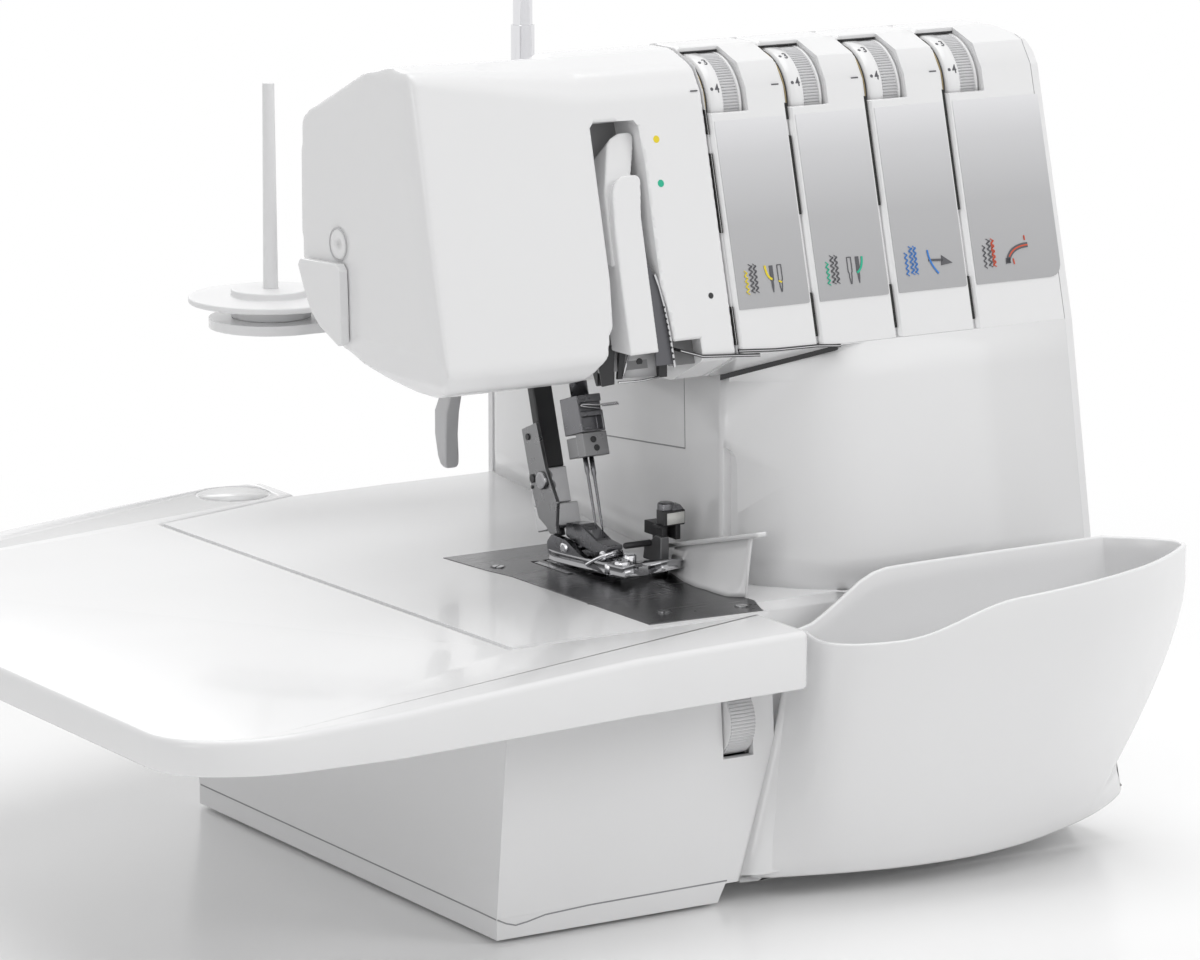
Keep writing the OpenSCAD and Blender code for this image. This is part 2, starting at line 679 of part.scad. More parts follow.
// Plan of the bin at its floor and at its rim, anticlockwise from the back left
bin_foot = [
    [105, 0.2], [113, -1.2], [140, -10.5], [159, -15.5], [172, -17.8], [186, -19.2], [200, -19.2],
    [214, -17.8], [230, -14.6], [246, -10.6], [262, -6.8], [276, -3.6], [282, -1.6], [283, 0.2]
];
bin_rim = [
    [136, 19.6], [133.5, 2], [129.4, -10], [128, -18], [130, -25], [136, -30.6], [146, -34.4],
    [162, -38.4], [184, -42.6], [212, -47.2], [232, -49.8], [244, -49.6], [258, -46], [274, -38],
    [288, -28.5], [296, -22.5], [298, -18], [297, -8], [291, 6], [282, 19.6]
];
// Underside of the bin, which rises to the right
bin_keel = [[60, 8], [205, 8], [220, 8.6], [232, 9.8], [248, 12], [260, 14.2], [272, 16.9], [290, 20.6]];
bin_t = 2.2;
bin_base_z = 8;
bin_band_z = 104;
function bin_back_y(z) = 8 * (z - base_z) / (bed_h - base_z) - 0.6;
module bin_body(d, z0) intersection() {
    hull() {
        slab(z0) polygon(inset(bin_foot, d));
        slab(bin_band_z, bin_h - bin_band_z) polygon(inset(bin_rim, d));
    }
    along_y(-70, 30) polygon(concat([for (p = bin_keel) p + [0, d]], [[400, 140], [60, 140]]));
    along_x(0, 400) polygon([[-80, 0], [bin_back_y(0) - d, 0], [bin_back_y(140) - d, 140], [-80, 140]]);
}
module waste_bin() color(white) bench() difference() {
    bin_body(0, bin_base_z);
    translate([0, 0, 0.02]) bin_body(bin_t, bin_base_z + bin_t);
    along_y(-60, 1) polygon([
        [60, 102], [162, 102], [174, 106], [184, 111], [212, 115.5], [240, bin_h - 0.5], [400, bin_h],
        [400, 140], [60, 140]]);
    along_y(0, 25) polygon([
        [60, 99], [144, 99.5], [156, 107], [168, 115], [184, bin_h - 0.5], [184, 140], [60, 140]]);
}

// Outline of the table, anticlockwise from its right front corner
table_x = 1 - table_reach;
table_outline = concat(
    [[118.5, 7.4], [10.9, 7.4], [4.4, 267.6], [73, 288], [78.6, 291.5], [78.6, 320]],
    [[53.6, 323.5], [8, 311], [-55.8, 291]],
    arc([table_x + 38, 228], 38, 110, 180, 6),
    arc([table_x + 30, -34], 30, 180, 265, 8),
    [[-73, -58], [0, -41.5], [40.5, -32.9], [118.5, -27.3]]
);
module slide_table() color(white) bench() difference() {
    slab(86, bed_h - 86) polygon(table_outline);
    slab(80, bed_h - table_t - 80) polygon(inset(table_outline, 2.5));
    box(-3, 130, -3, 330, 80, bed_h - table_t);
    along_y(-80, 330) polygon([[-200, 80], [110, 80], [40, 88], [0, 94], [-200, 95]]);
}

// ---------------------------------------------------------------- dials

module cutting_width_dial() color(grey) bench() {
    rod_x(width_dial_x, width_dial_x + width_dial_w, width_dial_y, width_dial_z, width_dial_r);
    rod_x(93, 117.3, width_dial_y, width_dial_z, 2.5);
}
module side_dial(z) color(white) bench() {
    rod_x(casing_w + 0.4, casing_w + 10, stitch_y, z, side_dial_r);
    rod_x(side_x - 8, casing_w + 1, stitch_y, z, 4);
}
module stitch_length_dial() side_dial(stitch_z);
module differential_dial() side_dial(differential_z);

// ---------------------------------------------------------------- spool stand and pole

function spool_x(i) = first_spool_x + spool_pitch * i;
module spool_stand() color(white) bench() difference() {
    union() {
        hull() for (x = [spool_x(0), spool_x(3)]) rod_z(shelf_z, stand_z, x, stand_y, 25);
        box(pole_x - 16, pole_x + 16, head_rear_y, stand_y, shelf_z, stand_z);
        rod_z(stand_z, stand_z + 12, pole_x, pole_y, 8);
    }
    rod_z(shelf_z - 1, stand_z + 20, pole_x, pole_y, pole_r);
    for (i = [0:3]) rod_z(shelf_z - 1, stand_z + 1, spool_x(i), stand_y, 3);
}
module spool_pins() color(white) bench() for (i = [0:3]) {
    rod_z(shelf_z, stand_z + 12, spool_x(i), stand_y, 3);
    translate([spool_x(i), stand_y, stand_z + 12]) cylinder(r1 = 3, r2 = 2.4, h = 82);
}
module spool_discs() color(white) bench() for (i = [0:3]) difference() {
    union() {
        rod_z(stand_z, stand_z + 6, spool_x(i), stand_y, 16);
        rod_z(stand_z + 6, stand_z + 8.5, spool_x(i), stand_y, spool_r);
        rod_z(stand_z + 8.5, stand_z + 11.5, spool_x(i), stand_y, 16);
    }
    rod_z(stand_z, stand_z + 20, spool_x(i), stand_y, 3);
}
module pole_tube() color(steel) bench() difference() {
    rod_z(shelf_z, pole_joint_z, pole_x, pole_y, pole_r);
    rod_z(shelf_z + 2, pole_joint_z + 1, pole_x, pole_y, pole_r - 0.8);
}
module pole_section() color(steel) bench()
    rod_z(pole_joint_z - 30, pole_top_h - 12, pole_x, pole_y, pole_r - 0.8 - fit);
module thread_guide_bar() color(steel) bench() difference() {
    union() {
        rod_z(pole_top_h - 12, pole_top_h, pole_x, pole_y, 7);
        box(spool_x(0) - 8, spool_x(3) + 8, pole_y - 3, pole_y + 3, pole_top_h - 8, pole_top_h - 4);
        for (i = [0:3])
            box(spool_x(i) - 3, spool_x(i) + 3, pole_y + 3, stand_y + 4, pole_top_h - 8, pole_top_h - 5);
    }
    for (i = [0:3]) rod_z(0, 900, spool_x(i), stand_y, 2);
}

base_pan();
rubber_feet();
main_casing();
side_cover();
rear_cover();
head_casing();
head_cover();
head_plug();
thread_cutter();
column_cover_1();
column_cover_2();
column_cover_3();
column_cover_4();
column_labels();
take_up_covers();
needle_plate();
plate_screws();
chip_guard();
machine_frame();
looper_stands();
bushes();
drive_motor();
drive_belt();
circuit_board();
power_inlet();
light_lens();
tension_discs();
spool_stand();
spool_pins();
spool_discs();
pole_tube();
lower_knife();
tension_dial_1();
tension_dial_2();
tension_dial_3();
tension_dial_4();
handwheel();
main_shaft();
motor_pulley();
needle_bar();
needle_clamp();
needles();
take_up_lever();
upper_looper();
lower_looper();
upper_knife();
feed_dogs();
lifter_lever();
presser_bar();
foot_holder();
presser_foot();
looper_cover();
waste_bin();
slide_table();
cutting_width_dial();
stitch_length_dial();
differential_dial();
power_switch();
pole_section();
thread_guide_bar();
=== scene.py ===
"""Looks of a four-thread overlock machine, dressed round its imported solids."""
import json
import math

import bmesh
import bpy
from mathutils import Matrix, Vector

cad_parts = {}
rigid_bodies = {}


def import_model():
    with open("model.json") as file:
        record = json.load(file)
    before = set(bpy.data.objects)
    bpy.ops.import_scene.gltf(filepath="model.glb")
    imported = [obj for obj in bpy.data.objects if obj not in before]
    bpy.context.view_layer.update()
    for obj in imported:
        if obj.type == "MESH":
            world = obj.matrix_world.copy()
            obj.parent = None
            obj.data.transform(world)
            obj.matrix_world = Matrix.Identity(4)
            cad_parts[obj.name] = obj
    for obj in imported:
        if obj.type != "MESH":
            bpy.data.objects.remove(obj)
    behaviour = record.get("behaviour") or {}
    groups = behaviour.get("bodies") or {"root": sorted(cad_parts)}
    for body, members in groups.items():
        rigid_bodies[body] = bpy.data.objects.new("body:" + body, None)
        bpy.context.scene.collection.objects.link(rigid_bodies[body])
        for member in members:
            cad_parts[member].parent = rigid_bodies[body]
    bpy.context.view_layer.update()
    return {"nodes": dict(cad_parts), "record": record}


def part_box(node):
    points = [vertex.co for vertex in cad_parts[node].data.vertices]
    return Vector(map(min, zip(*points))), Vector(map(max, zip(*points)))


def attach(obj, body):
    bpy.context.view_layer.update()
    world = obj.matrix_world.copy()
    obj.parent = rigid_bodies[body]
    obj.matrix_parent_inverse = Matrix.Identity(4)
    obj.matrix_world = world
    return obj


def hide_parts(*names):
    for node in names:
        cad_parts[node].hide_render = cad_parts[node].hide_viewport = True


bl_info = {
    "name": "Overlock machine",
    "version": (1, 0, 0),
    "blender": (4, 5, 0),
    "location": "View3D > Sidebar > Overlock",
    "description": "Builds the casings, dials, foot, table and bin of an overlock machine",
    "category": "Object",
}

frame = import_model()
MM = 0.001
# Bench frame: X right, Y back, Z up in millimetres, zero at the front left corner of the base
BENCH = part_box("base_pan")[0]
LEAN = math.radians(17)
PANEL_LEAN = math.atan(0.259)
PANEL_FOOT = (34.8, 200.0)
BASE_TOP = 9.5
BED_TOP = 108.0
BED_LEAN = 8.0
NEEDLE_X = 105.0
NEEDLE_Y = 95.0
COLUMN_X = 128.0
COLUMN_PITCH = 36.4
HEAD_SPLIT = 126.9
GROOVE_W = 0.55
SIDE_X = 278.8
# Printed marks on the needle plate lie between these heights
PRINT = (108.1, 108.24)
PLATE_SCREWS = ((76.5, 126, 0.6), (89, 27, 1.1), (118.5, 19, 2.0))


def at(x, y, z):
    """Place in the shared frame of a point of the bench frame."""
    return Vector((BENCH.x + x * MM, BENCH.y + y * MM, z * MM))


def panel_y(z):
    """Depth of the sloping panel at a height."""
    return PANEL_FOOT[0] + (z - PANEL_FOOT[1]) * math.tan(PANEL_LEAN)


def bed_y(z):
    """Depth of the bed's leaning front wall at a height."""
    return BED_LEAN * (z - BASE_TOP) / (BED_TOP - BASE_TOP)


def column_left(i):
    return COLUMN_X + COLUMN_PITCH * i


def column_right(i):
    return SIDE_X - 0.3 if i == 3 else column_left(i + 1) - 1.8


# ---------------------------------------------------------------- shader maths


class Sock:
    """Output of a shader node that takes Python's operators."""

    def __init__(self, shader, out):
        self.shader = shader
        self.out = out

    def _math(self, operation, *values):
        return self.shader.node("ShaderNodeMath", {"operation": operation}, dict(enumerate(values)))

    def __add__(self, other):
        return self._math("ADD", self, other)

    def __sub__(self, other):
        return self._math("SUBTRACT", self, other)

    def __rsub__(self, other):
        return self._math("SUBTRACT", other, self)

    def __mul__(self, other):
        return self._math("MULTIPLY", self, other)

    def __truediv__(self, other):
        return self._math("DIVIDE", self, other)

    __radd__ = __add__
    __rmul__ = __mul__

    def clamped(self):
        return self.shader.node("ShaderNodeClamp", {}, {0: self})


class Shader:
    """A material's node tree with one method that adds any node."""

    def __init__(self, name):
        self.material = bpy.data.materials.new(name)
        self.material.use_nodes = True
        self.tree = self.material.node_tree
        self.bsdf = self.tree.nodes["Principled BSDF"]

    def node(self, kind, settings, values, out=0):
        made = self.tree.nodes.new(kind)
        for key, value in settings.items():
            if key == "stops":
                ramp = made.color_ramp
                while len(ramp.elements) < len(value):
                    ramp.elements.new(0.5)
                for element, (place, colour) in zip(ramp.elements, value):
                    element.position = place
                    element.color = colour
            else:
                setattr(made, key, value)
        for key, value in values.items():
            self.feed(made.inputs[key], value)
        return Sock(self, made.outputs[out])

    def feed(self, socket, value):
        if isinstance(value, Sock):
            self.tree.links.new(value.out, socket)
        else:
            socket.default_value = value

    def surface(self, **values):
        for key, value in values.items():
            self.feed(self.bsdf.inputs[key.replace("_", " ")], value)
        return self.material

    def place(self):
        return self.node("ShaderNodeTexCoord", {}, {}, out=3)

    def noise(self, scale, detail=3.0, stretch=(1, 1, 1)):
        """Even noise on the object's own coordinates, stretched by a factor along each axis."""
        spot = self.node("ShaderNodeMapping", {}, {"Vector": self.place(), "Scale": stretch})
        return self.node("ShaderNodeTexNoise", {}, {"Vector": spot, "Scale": scale, "Detail": detail})

    def bump(self, height, strength, distance):
        return self.node("ShaderNodeBump", {}, {"Height": height, "Strength": strength, "Distance": distance})

    def fade_to_white(self, near, far):
        """Away from the middle the surface turns into the white background, as the lens and gloss see it."""
        reach = self.node("ShaderNodeVectorMath", {"operation": "LENGTH"}, {0: self.place()}, out=1)
        path = self.node("ShaderNodeLightPath", {}, {})
        lens = path + Sock(self, path.out.node.outputs["Is Glossy Ray"])
        mask = ((reach - near) / (far - near)).clamped() * lens.clamped()
        glow = self.node("ShaderNodeEmission", {}, {"Color": (1, 1, 1, 1), "Strength": 1.0})
        mixed = self.node("ShaderNodeMixShader", {}, {0: mask, 1: Sock(self, self.bsdf.outputs[0]), 2: glow})
        self.tree.links.new(mixed.out, self.tree.nodes["Material Output"].inputs["Surface"])

    def blend(self, mask, low, high):
        return self.node("ShaderNodeMix", {"data_type": "RGBA"}, {0: mask, 6: low, 7: high}, out=2)


def rgb(value):
    return (*value, 1.0)


def shade(value, factor):
    return tuple(min(1.0, channel * factor) for channel in value)


MATERIALS = {}


def moulded_plastic(name, colour, roughness, grain=0.0, coat=0.0):
    """Injection-moulded plastic: faint mottling, a breath of uneven gloss and a fine moulded skin."""
    shader = Shader(name)
    cloud = shader.noise(14.0, 2.0)
    skin = shader.noise(900.0, 2.0)
    tint = shader.blend(cloud, rgb(shade(colour, 0.985)), rgb(shade(colour, 1.01)))
    MATERIALS[name] = shader.surface(
        Base_Color=tint,
        Roughness=roughness + (cloud - 0.5) * 0.05 + (skin - 0.5) * 0.03,
        Coat_Weight=coat,
        Normal=shader.bump(skin, 0.06 + grain, 0.0002),
    )


def bright_metal(name, colour, roughness, stretch=(1, 1, 1), marks=0.12):
    """Plated or ground metal with fine handling marks along one direction."""
    shader = Shader(name)
    streak = shader.noise(260.0, 4.0, stretch)
    cloud = shader.noise(35.0, 3.0)
    MATERIALS[name] = shader.surface(
        Base_Color=shader.blend(cloud, rgb(shade(colour, 0.93)), rgb(colour)),
        Metallic=1.0,
        Roughness=roughness + (streak - 0.5) * marks + (cloud - 0.5) * 0.06,
        Normal=shader.bump(streak, 0.05, 0.0002),
    )


def label_silver(colour):
    """Silver label colour that turns lighter towards the casing's white at the top of the sloping panel."""
    shader = Shader("label_silver")
    height = shader.node("ShaderNodeSeparateXYZ", {}, {0: shader.place()}, out=2)
    rise = ((height - at(0, 0, 216).z) / (70 * MM)).clamped()
    grain = shader.noise(700.0, 2.0)
    tint = shader.node("ShaderNodeValToRGB", {"stops": [
        (0.0, rgb(shade(colour, 0.90))), (0.45, rgb(colour)), (0.8, rgb(shade(colour, 1.3))),
        (1.0, rgb(shade(colour, 1.6)))]}, {0: rise})
    MATERIALS["label_silver"] = shader.surface(
        Base_Color=tint, Metallic=0.25, Roughness=0.42 + (grain - 0.5) * 0.12,
        Normal=shader.bump(grain, 0.05, 0.0002))


EVEN = (1, 1, 1)
# Colour, roughness and grain
PLASTICS = {
    "lever_grey": ((0.62, 0.62, 0.63), 0.4),
    # slot_grey and slot_black are painted shade: grey plates inside the head slot and black strips in the thread
    # slots
    "slot_grey": ((0.30, 0.30, 0.305), 0.5),
    "pale_joint": ((0.58, 0.58, 0.59), 0.45),
    "slot_black": ((0.006, 0.006, 0.006), 0.6),
    "black_plastic": ((0.028, 0.028, 0.03), 0.42, 0.08),
    "rubber": ((0.03, 0.03, 0.03), 0.8, 0.2),
    "board_green": ((0.02, 0.16, 0.07), 0.45),
    "lamp_window": ((0.92, 0.92, 0.88), 0.3),
    "mark_grey": ((0.11, 0.11, 0.12), 0.5),
    "mark_yellow": ((0.85, 0.68, 0.04), 0.45),
    "mark_green": ((0.03, 0.47, 0.29), 0.45),
    "mark_blue": ((0.05, 0.22, 0.62), 0.45),
    "mark_red": ((0.65, 0.10, 0.05), 0.45),
    "motor_black": ((0.03, 0.03, 0.033), 0.35),
    "shadow_grey": ((0.16, 0.16, 0.165), 0.5),
    "joint_grey": ((0.30, 0.30, 0.31), 0.5),
}
# Colour, roughness, stretch of the handling marks and their depth
METALS = {
    "chrome": ((0.80, 0.80, 0.82), 0.12),
    "ground_steel": ((0.48, 0.48, 0.49), 0.26, (0.05, 1, 1)),
    "dark_steel": ((0.20, 0.20, 0.21), 0.28),
    "plate_steel": ((0.17, 0.17, 0.175), 0.26, (0.04, 1, 1), 0.10),
    "bright_steel": ((0.62, 0.62, 0.63), 0.2),
    "speckled_steel": ((0.26, 0.26, 0.265), 0.3, EVEN, 0.2),
    "dark_chrome": ((0.36, 0.36, 0.37), 0.1),
    "grey_metal": ((0.22, 0.22, 0.225), 0.42),
    "brass": ((0.72, 0.55, 0.25), 0.25),
    # Brass made darker as painted shade for the tension discs deep in their wells, and rougher
    "dull_brass": ((0.42, 0.34, 0.20), 0.42),
    "casting": ((0.50, 0.51, 0.52), 0.5),
}


def make_materials(look):
    white = tuple(look.casing_colour)
    moulded_plastic("white_gloss", white, look.casing_gloss, coat=0.25)
    moulded_plastic("white_satin", shade(white, 0.985), 0.42)
    moulded_plastic("dial_grey", tuple(look.dial_colour), 0.38, grain=0.05)
    for name, finish in PLASTICS.items():
        moulded_plastic(name, *finish)
    label_silver(tuple(look.label_colour))
    for name, finish in METALS.items():
        bright_metal(name, *finish)


NODE_LOOKS = {
    "white_gloss": (
        "base_pan main_casing side_cover rear_cover head_casing head_cover head_plug thread_cutter "
        "column_cover_1 column_cover_2 column_cover_3 column_cover_4 take_up_covers chip_guard handwheel "
        "looper_cover waste_bin slide_table stitch_length_dial differential_dial spool_stand"
    ),
    "white_satin": "spool_pins spool_discs",
    "dial_grey": "tension_dial_1 tension_dial_2 tension_dial_3 tension_dial_4 cutting_width_dial",
    "lever_grey": "lifter_lever",
    "black_plastic": "power_inlet power_switch",
    "rubber": "rubber_feet drive_belt",
    "board_green": "circuit_board",
    "lamp_window": "light_lens",
    "motor_black": "drive_motor",
    "label_silver": "column_labels",
    "chrome": "pole_tube pole_section thread_guide_bar needle_bar needles plate_screws needle_clamp",
    "ground_steel": (
        "main_shaft motor_pulley upper_knife lower_knife feed_dogs upper_looper lower_looper take_up_lever"
    ),
    "dark_steel": "presser_bar foot_holder presser_foot",
    "plate_steel": "needle_plate",
    "brass": "bushes tension_discs",
    "casting": "machine_frame looper_stands",
}

# Slot listed for a piece of each finish, unless it is told otherwise
SLOTS = {
    "white_plastic": "white_gloss white_satin pale_joint joint_grey",
    "grey_plastic": "dial_grey lever_grey",
    "black_plastic": "black_plastic slot_grey slot_black shadow_grey mark_grey",
    "steel": (
        "label_silver lamp_window plate_steel dark_steel bright_steel speckled_steel dark_chrome chrome grey_metal"
    ),
    "brass": "brass dull_brass",
}
SLOT_OF = {material: slot for slot, names in SLOTS.items() for material in names.split()}


# ---------------------------------------------------------------- outlines and solids


def bowed(points, radius, steps=5):
    """Outline with each corner turned into a bow that touches both of its sides."""
    out = []
    count = len(points)
    for i, point in enumerate(points):
        corner = Vector(point)
        back = Vector(points[i - 1]) - corner
        ahead = Vector(points[(i + 1) % count]) - corner
        size = radius[i] if isinstance(radius, (list, tuple)) else radius
        turn = math.pi - back.angle(ahead)
        reach = min(size * math.tan(turn / 2), 0.49 * back.length, 0.49 * ahead.length)
        if reach < 0.02:
            out.append(corner)
            continue
        start = corner + back.normalized() * reach
        end = corner + ahead.normalized() * reach
        for k in range(steps + 1):
            t = k / steps
            out.append(start * (1 - t) ** 2 + corner * 2 * t * (1 - t) + end * t * t)
    return out


def spread(points, count):
    """Points evenly spaced along an open line."""
    line = [Vector(p) for p in points]
    ends = [0.0]
    for a, b in zip(line, line[1:]):
        ends.append(ends[-1] + (b - a).length)
    out = []
    k = 0
    for i in range(count):
        want = ends[-1] * i / (count - 1)
        while k < len(line) - 2 and ends[k + 1] < want:
            k += 1
        part = (want - ends[k]) / max(ends[k + 1] - ends[k], 1e-9)
        out.append(line[k].lerp(line[k + 1], part))
    return out


def inset(points, distance):
    """Closed anticlockwise outline moved inwards."""
    out = []
    count = len(points)
    for i, point in enumerate(points):
        back = (Vector(point) - Vector(points[i - 1])).normalized()
        ahead = (Vector(points[(i + 1) % count]) - Vector(point)).normalized()
        inward = Vector((-back.y, back.x)) + Vector((-ahead.y, ahead.x))
        out.append(Vector(point) + inward * (distance / max(1 + back.dot(ahead), 0.4)))
    return out


def between(stops, x):
    """Smooth curve through (x, value) stops."""
    if x <= stops[0][0]:
        return stops[0][1]
    for (x0, v0), (x1, v1) in zip(stops, stops[1:]):
        if x <= x1:
            t = (x - x0) / (x1 - x0)
            t = t * t * (3 - 2 * t)
            return v0 + (v1 - v0) * t
    return stops[-1][1]


def straight(stops, x):
    """Value at x on straight lines through (x, value) stops."""
    for (x0, v0), (x1, v1) in zip(stops, stops[1:]):
        if x <= x1:
            return v0 + (v1 - v0) * (x - x0) / max(x1 - x0, 1e-9)
    return stops[-1][1]


def smooth_line(points, passes=3):
    """Open line with its corners cut again and again."""
    line = [Vector(p) for p in points]
    for _ in range(passes):
        cut = [line[0]]
        for a, b in zip(line, line[1:]):
            cut += [a.lerp(b, 0.25), a.lerp(b, 0.75)]
        line = cut + [line[-1]]
    return line


def curve_line(points, steps=10):
    """Smooth run of (x, z) points along a bowed line of three control points."""
    a, b, c = (Vector(p) for p in points)
    return [a * (1 - t) ** 2 + b * 2 * t * (1 - t) + c * t * t for t in (k / steps for k in range(steps + 1))]


def stroke(points, width):
    """Outline of a line of even width along (x, z) points."""
    line = [Vector(p) for p in points]
    left, right = [], []
    for i, point in enumerate(line):
        along = (line[min(i + 1, len(line) - 1)] - line[max(i - 1, 0)]).normalized()
        side = Vector((-along.y, along.x)) * (width / 2)
        left.append(point + side)
        right.append(point - side)
    return left + right[::-1]


def disc(x, z, radius, count=20):
    return [
        (x + radius * math.cos(math.tau * k / count), z + radius * math.sin(math.tau * k / count))
        for k in range(count)]


def set_in(axis, outline, place):
    """Points of a flat outline that stands square to an axis at a place on it."""
    return [(*pair[:axis], place, *pair[axis:]) for pair in outline]


def skin(rings, closed=False):
    """Solid through rings of bench points, with both ends filled or the last ring joined to the first."""
    made = bmesh.new()
    rows = [[made.verts.new(at(*p)) for p in ring] for ring in rings]
    for low, high in zip(rows, rows[1:] + rows[:1] if closed else rows[1:]):
        for i in range(len(low)):
            j = (i + 1) % len(low)
            made.faces.new((low[i], low[j], high[j], high[i]))
    if not closed:
        made.faces.new(list(reversed(rows[0])))
        made.faces.new(rows[-1])
    bmesh.ops.remove_doubles(made, verts=made.verts, dist=1e-6)
    bmesh.ops.recalc_face_normals(made, faces=made.faces)
    return made


def along_x(outline, low, high):
    """Solid with a (y, z) outline between two places along X."""
    return skin([set_in(0, outline, x) for x in (low, high)])


def along_y(outline, low, high):
    """Solid with an (x, z) outline between two places along Y."""
    return skin([set_in(1, outline, y) for y in (low, high)])


def oblong(x0, x1, y0, y1, z):
    """Corners of a level rectangle."""
    return [(x0, y0, z), (x1, y0, z), (x1, y1, z), (x0, y1, z)]


def block(x0, x1, y0, y1, z0, z1):
    """Upright block between two places along each axis."""
    return skin([oblong(x0, x1, y0, y1, z) for z in (z0, z1)])


def lathe_x(profile, y, z, count=96):
    """Round solid about a line along X; the profile lists (x, radius)."""
    return skin([set_in(0, disc(y, z, r, count), x) for x, r in profile])


def lathe_y(profile, x, z, count=32):
    """Round solid about a line along Y; the profile lists (y, radius)."""
    return skin([set_in(1, disc(x, z, r, count), y) for y, r in profile])


def lathe_z(profile, x, y, count=64):
    """Round solid about an upright line; the profile lists (z, radius)."""
    return skin([set_in(2, disc(x, y, r, count), z) for z, r in profile])


def ring(axis, low, high, u, v, outer, inner, count=64):
    """Flat ring about a line along an axis."""
    corners = ((low, inner), (low, outer), (high, outer), (high, inner))
    return skin([set_in(axis, disc(u, v, r, count), place) for place, r in corners], closed=True)


def on_slope(outline, front, back):
    """Solid with an (x, z) outline between two distances in front of the sloping panel."""
    return skin([[(x, panel_y(z) - out, z) for x, z in outline] for out in (front, back)])


def sloping_bar(x0, x1, low, high, front, back):
    """Bar along the sloping panel between two depths behind it."""
    return on_slope([(x0, low), (x1, low), (x1, high), (x0, high)], -front, -back)


def decal(outline, lift, thick=0.12):
    """Thin plate on the sloping panel from an (x, z) outline."""
    return on_slope(outline, lift - 0.05, lift + thick)


def joined(*parts):
    """One bmesh from several."""
    whole = bmesh.new()
    for made in parts:
        mesh = bpy.data.meshes.new("part")
        made.to_mesh(mesh)
        made.free()
        whole.from_mesh(mesh)
        bpy.data.meshes.remove(mesh)
    return whole


def leaning(x, y, z):
    """Bench place of a point of the frame that leans with the needle bar."""
    return (NEEDLE_X + x, NEEDLE_Y + y * math.cos(LEAN) + z * math.sin(LEAN),
            BED_TOP - y * math.sin(LEAN) + z * math.cos(LEAN))


def lean_skin(rings):
    """Solid through rings of points of the leaning frame."""
    return skin([[leaning(*p) for p in ring] for ring in rings])


def lean_block(x0, x1, y0, y1, z0, z1):
    """Block in the frame that leans with the needle bar."""
    return lean_skin([oblong(x0, x1, y0, y1, z) for z in (z0, z1)])


def lean_lathe(axis, u, v, profile, count=24):
    """Round solid about an axis of the leaning frame; the profile lists (place on it, radius)."""
    return lean_skin([set_in(axis, disc(u, v, r, count), place) for place, r in profile])


def prism_x(outline, low, high):
    """Solid along X with a (y, z) outline in the leaning frame."""
    return lean_skin([set_in(0, outline, x) for x in (low, high)])


def wire(points, radius, count=8):
    """Round wire along bench points."""
    line = [Vector(p) for p in points]
    rings = []
    side = Vector((0, 0, 1))
    for i, point in enumerate(line):
        along = (line[min(i + 1, len(line) - 1)] - line[max(i - 1, 0)]).normalized()
        across = along.cross(side)
        if across.length < 0.1:
            across = along.cross(Vector((1, 0, 0)))
        across.normalize()
        up = across.cross(along)
        rings.append([
            point + (across * math.cos(math.tau * k / count) + up * math.sin(math.tau * k / count)) * radius
            for k in range(count)])
    return skin(rings)


# ---------------------------------------------------------------- mesh helpers


def node_mesh(node):
    """Welded copy of a CAD node's mesh with its flat areas made whole."""
    made = bmesh.new()
    made.from_mesh(frame["nodes"][node].data)
    bmesh.ops.remove_doubles(made, verts=made.verts, dist=2e-6)
    bmesh.ops.dissolve_limit(
        made, angle_limit=math.radians(0.6), use_dissolve_boundaries=False, verts=made.verts, edges=made.edges)
    return made


def new_piece(name, made, material, smooth=True):
    """Object from a bmesh that is already in the shared frame."""
    mesh = bpy.data.meshes.new(name)
    made.to_mesh(mesh)
    made.free()
    piece = bpy.data.objects.new(name, mesh)
    bpy.context.scene.collection.objects.link(piece)
    mesh.materials.append(MATERIALS[material])
    if smooth:
        mesh.shade_smooth()
    return piece


def applied(piece):
    """The piece with its modifiers made part of its mesh."""
    graph = bpy.context.evaluated_depsgraph_get()
    mesh = bpy.data.meshes.new_from_object(piece.evaluated_get(graph))
    old = piece.data
    piece.modifiers.clear()
    piece.data = mesh
    bpy.data.meshes.remove(old)
    return piece


def carved(piece, operation, *cutters):
    """The piece cut, joined or kept common with each of the solids."""
    for made in cutters:
        cutter = new_piece("cutter", made, "white_gloss", smooth=False)
        step = piece.modifiers.new("carve", "BOOLEAN")
        step.operation = operation
        step.solver = "EXACT"
        step.object = cutter
        applied(piece)
        bpy.data.objects.remove(cutter)
    return piece


def bevelled(piece, width, angle=28, segments=3):
    """Edges sharper than an angle are rounded."""
    bevel = piece.modifiers.new("edges", "BEVEL")
    bevel.width = width * MM
    bevel.segments = segments
    bevel.limit_method = "ANGLE"
    bevel.angle_limit = math.radians(angle)
    bevel.use_clamp_overlap = True
    bevel.miter_outer = "MITER_ARC"
    applied(piece)
    piece.data.shade_smooth()
    piece.modifiers.new("normals", "WEIGHTED_NORMAL").keep_sharp = False
    return applied(piece)


def softened(piece, voxel, passes, keep=1.0):
    """Every edge melted round, as on a casing from a well-worn mould."""
    even = piece.modifiers.new("even", "REMESH")
    even.mode = "VOXEL"
    even.voxel_size = voxel * MM
    even.use_smooth_shade = True
    melt = piece.modifiers.new("melt", "SMOOTH")
    melt.factor = 0.5
    melt.iterations = passes
    if keep < 1:
        thin = piece.modifiers.new("thin", "DECIMATE")
        thin.ratio = keep
    applied(piece)
    piece.data.shade_smooth()
    return piece


def settled(piece, body, slot, *nodes):
    """The piece moves with a body and stands for the nodes; its slot is not used."""
    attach(piece, body)
    if nodes:
        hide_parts(*nodes)
    return piece


def added(name, made, material, *nodes, body="machine", slot=None, bevel=None, smooth=True):
    """New piece that stands for the nodes, with its edges rounded by the bevel's millimetres."""
    piece = new_piece(name, made, material, smooth)
    if bevel:
        bevelled(piece, bevel)
    return settled(piece, body, slot or SLOT_OF[material], *nodes)


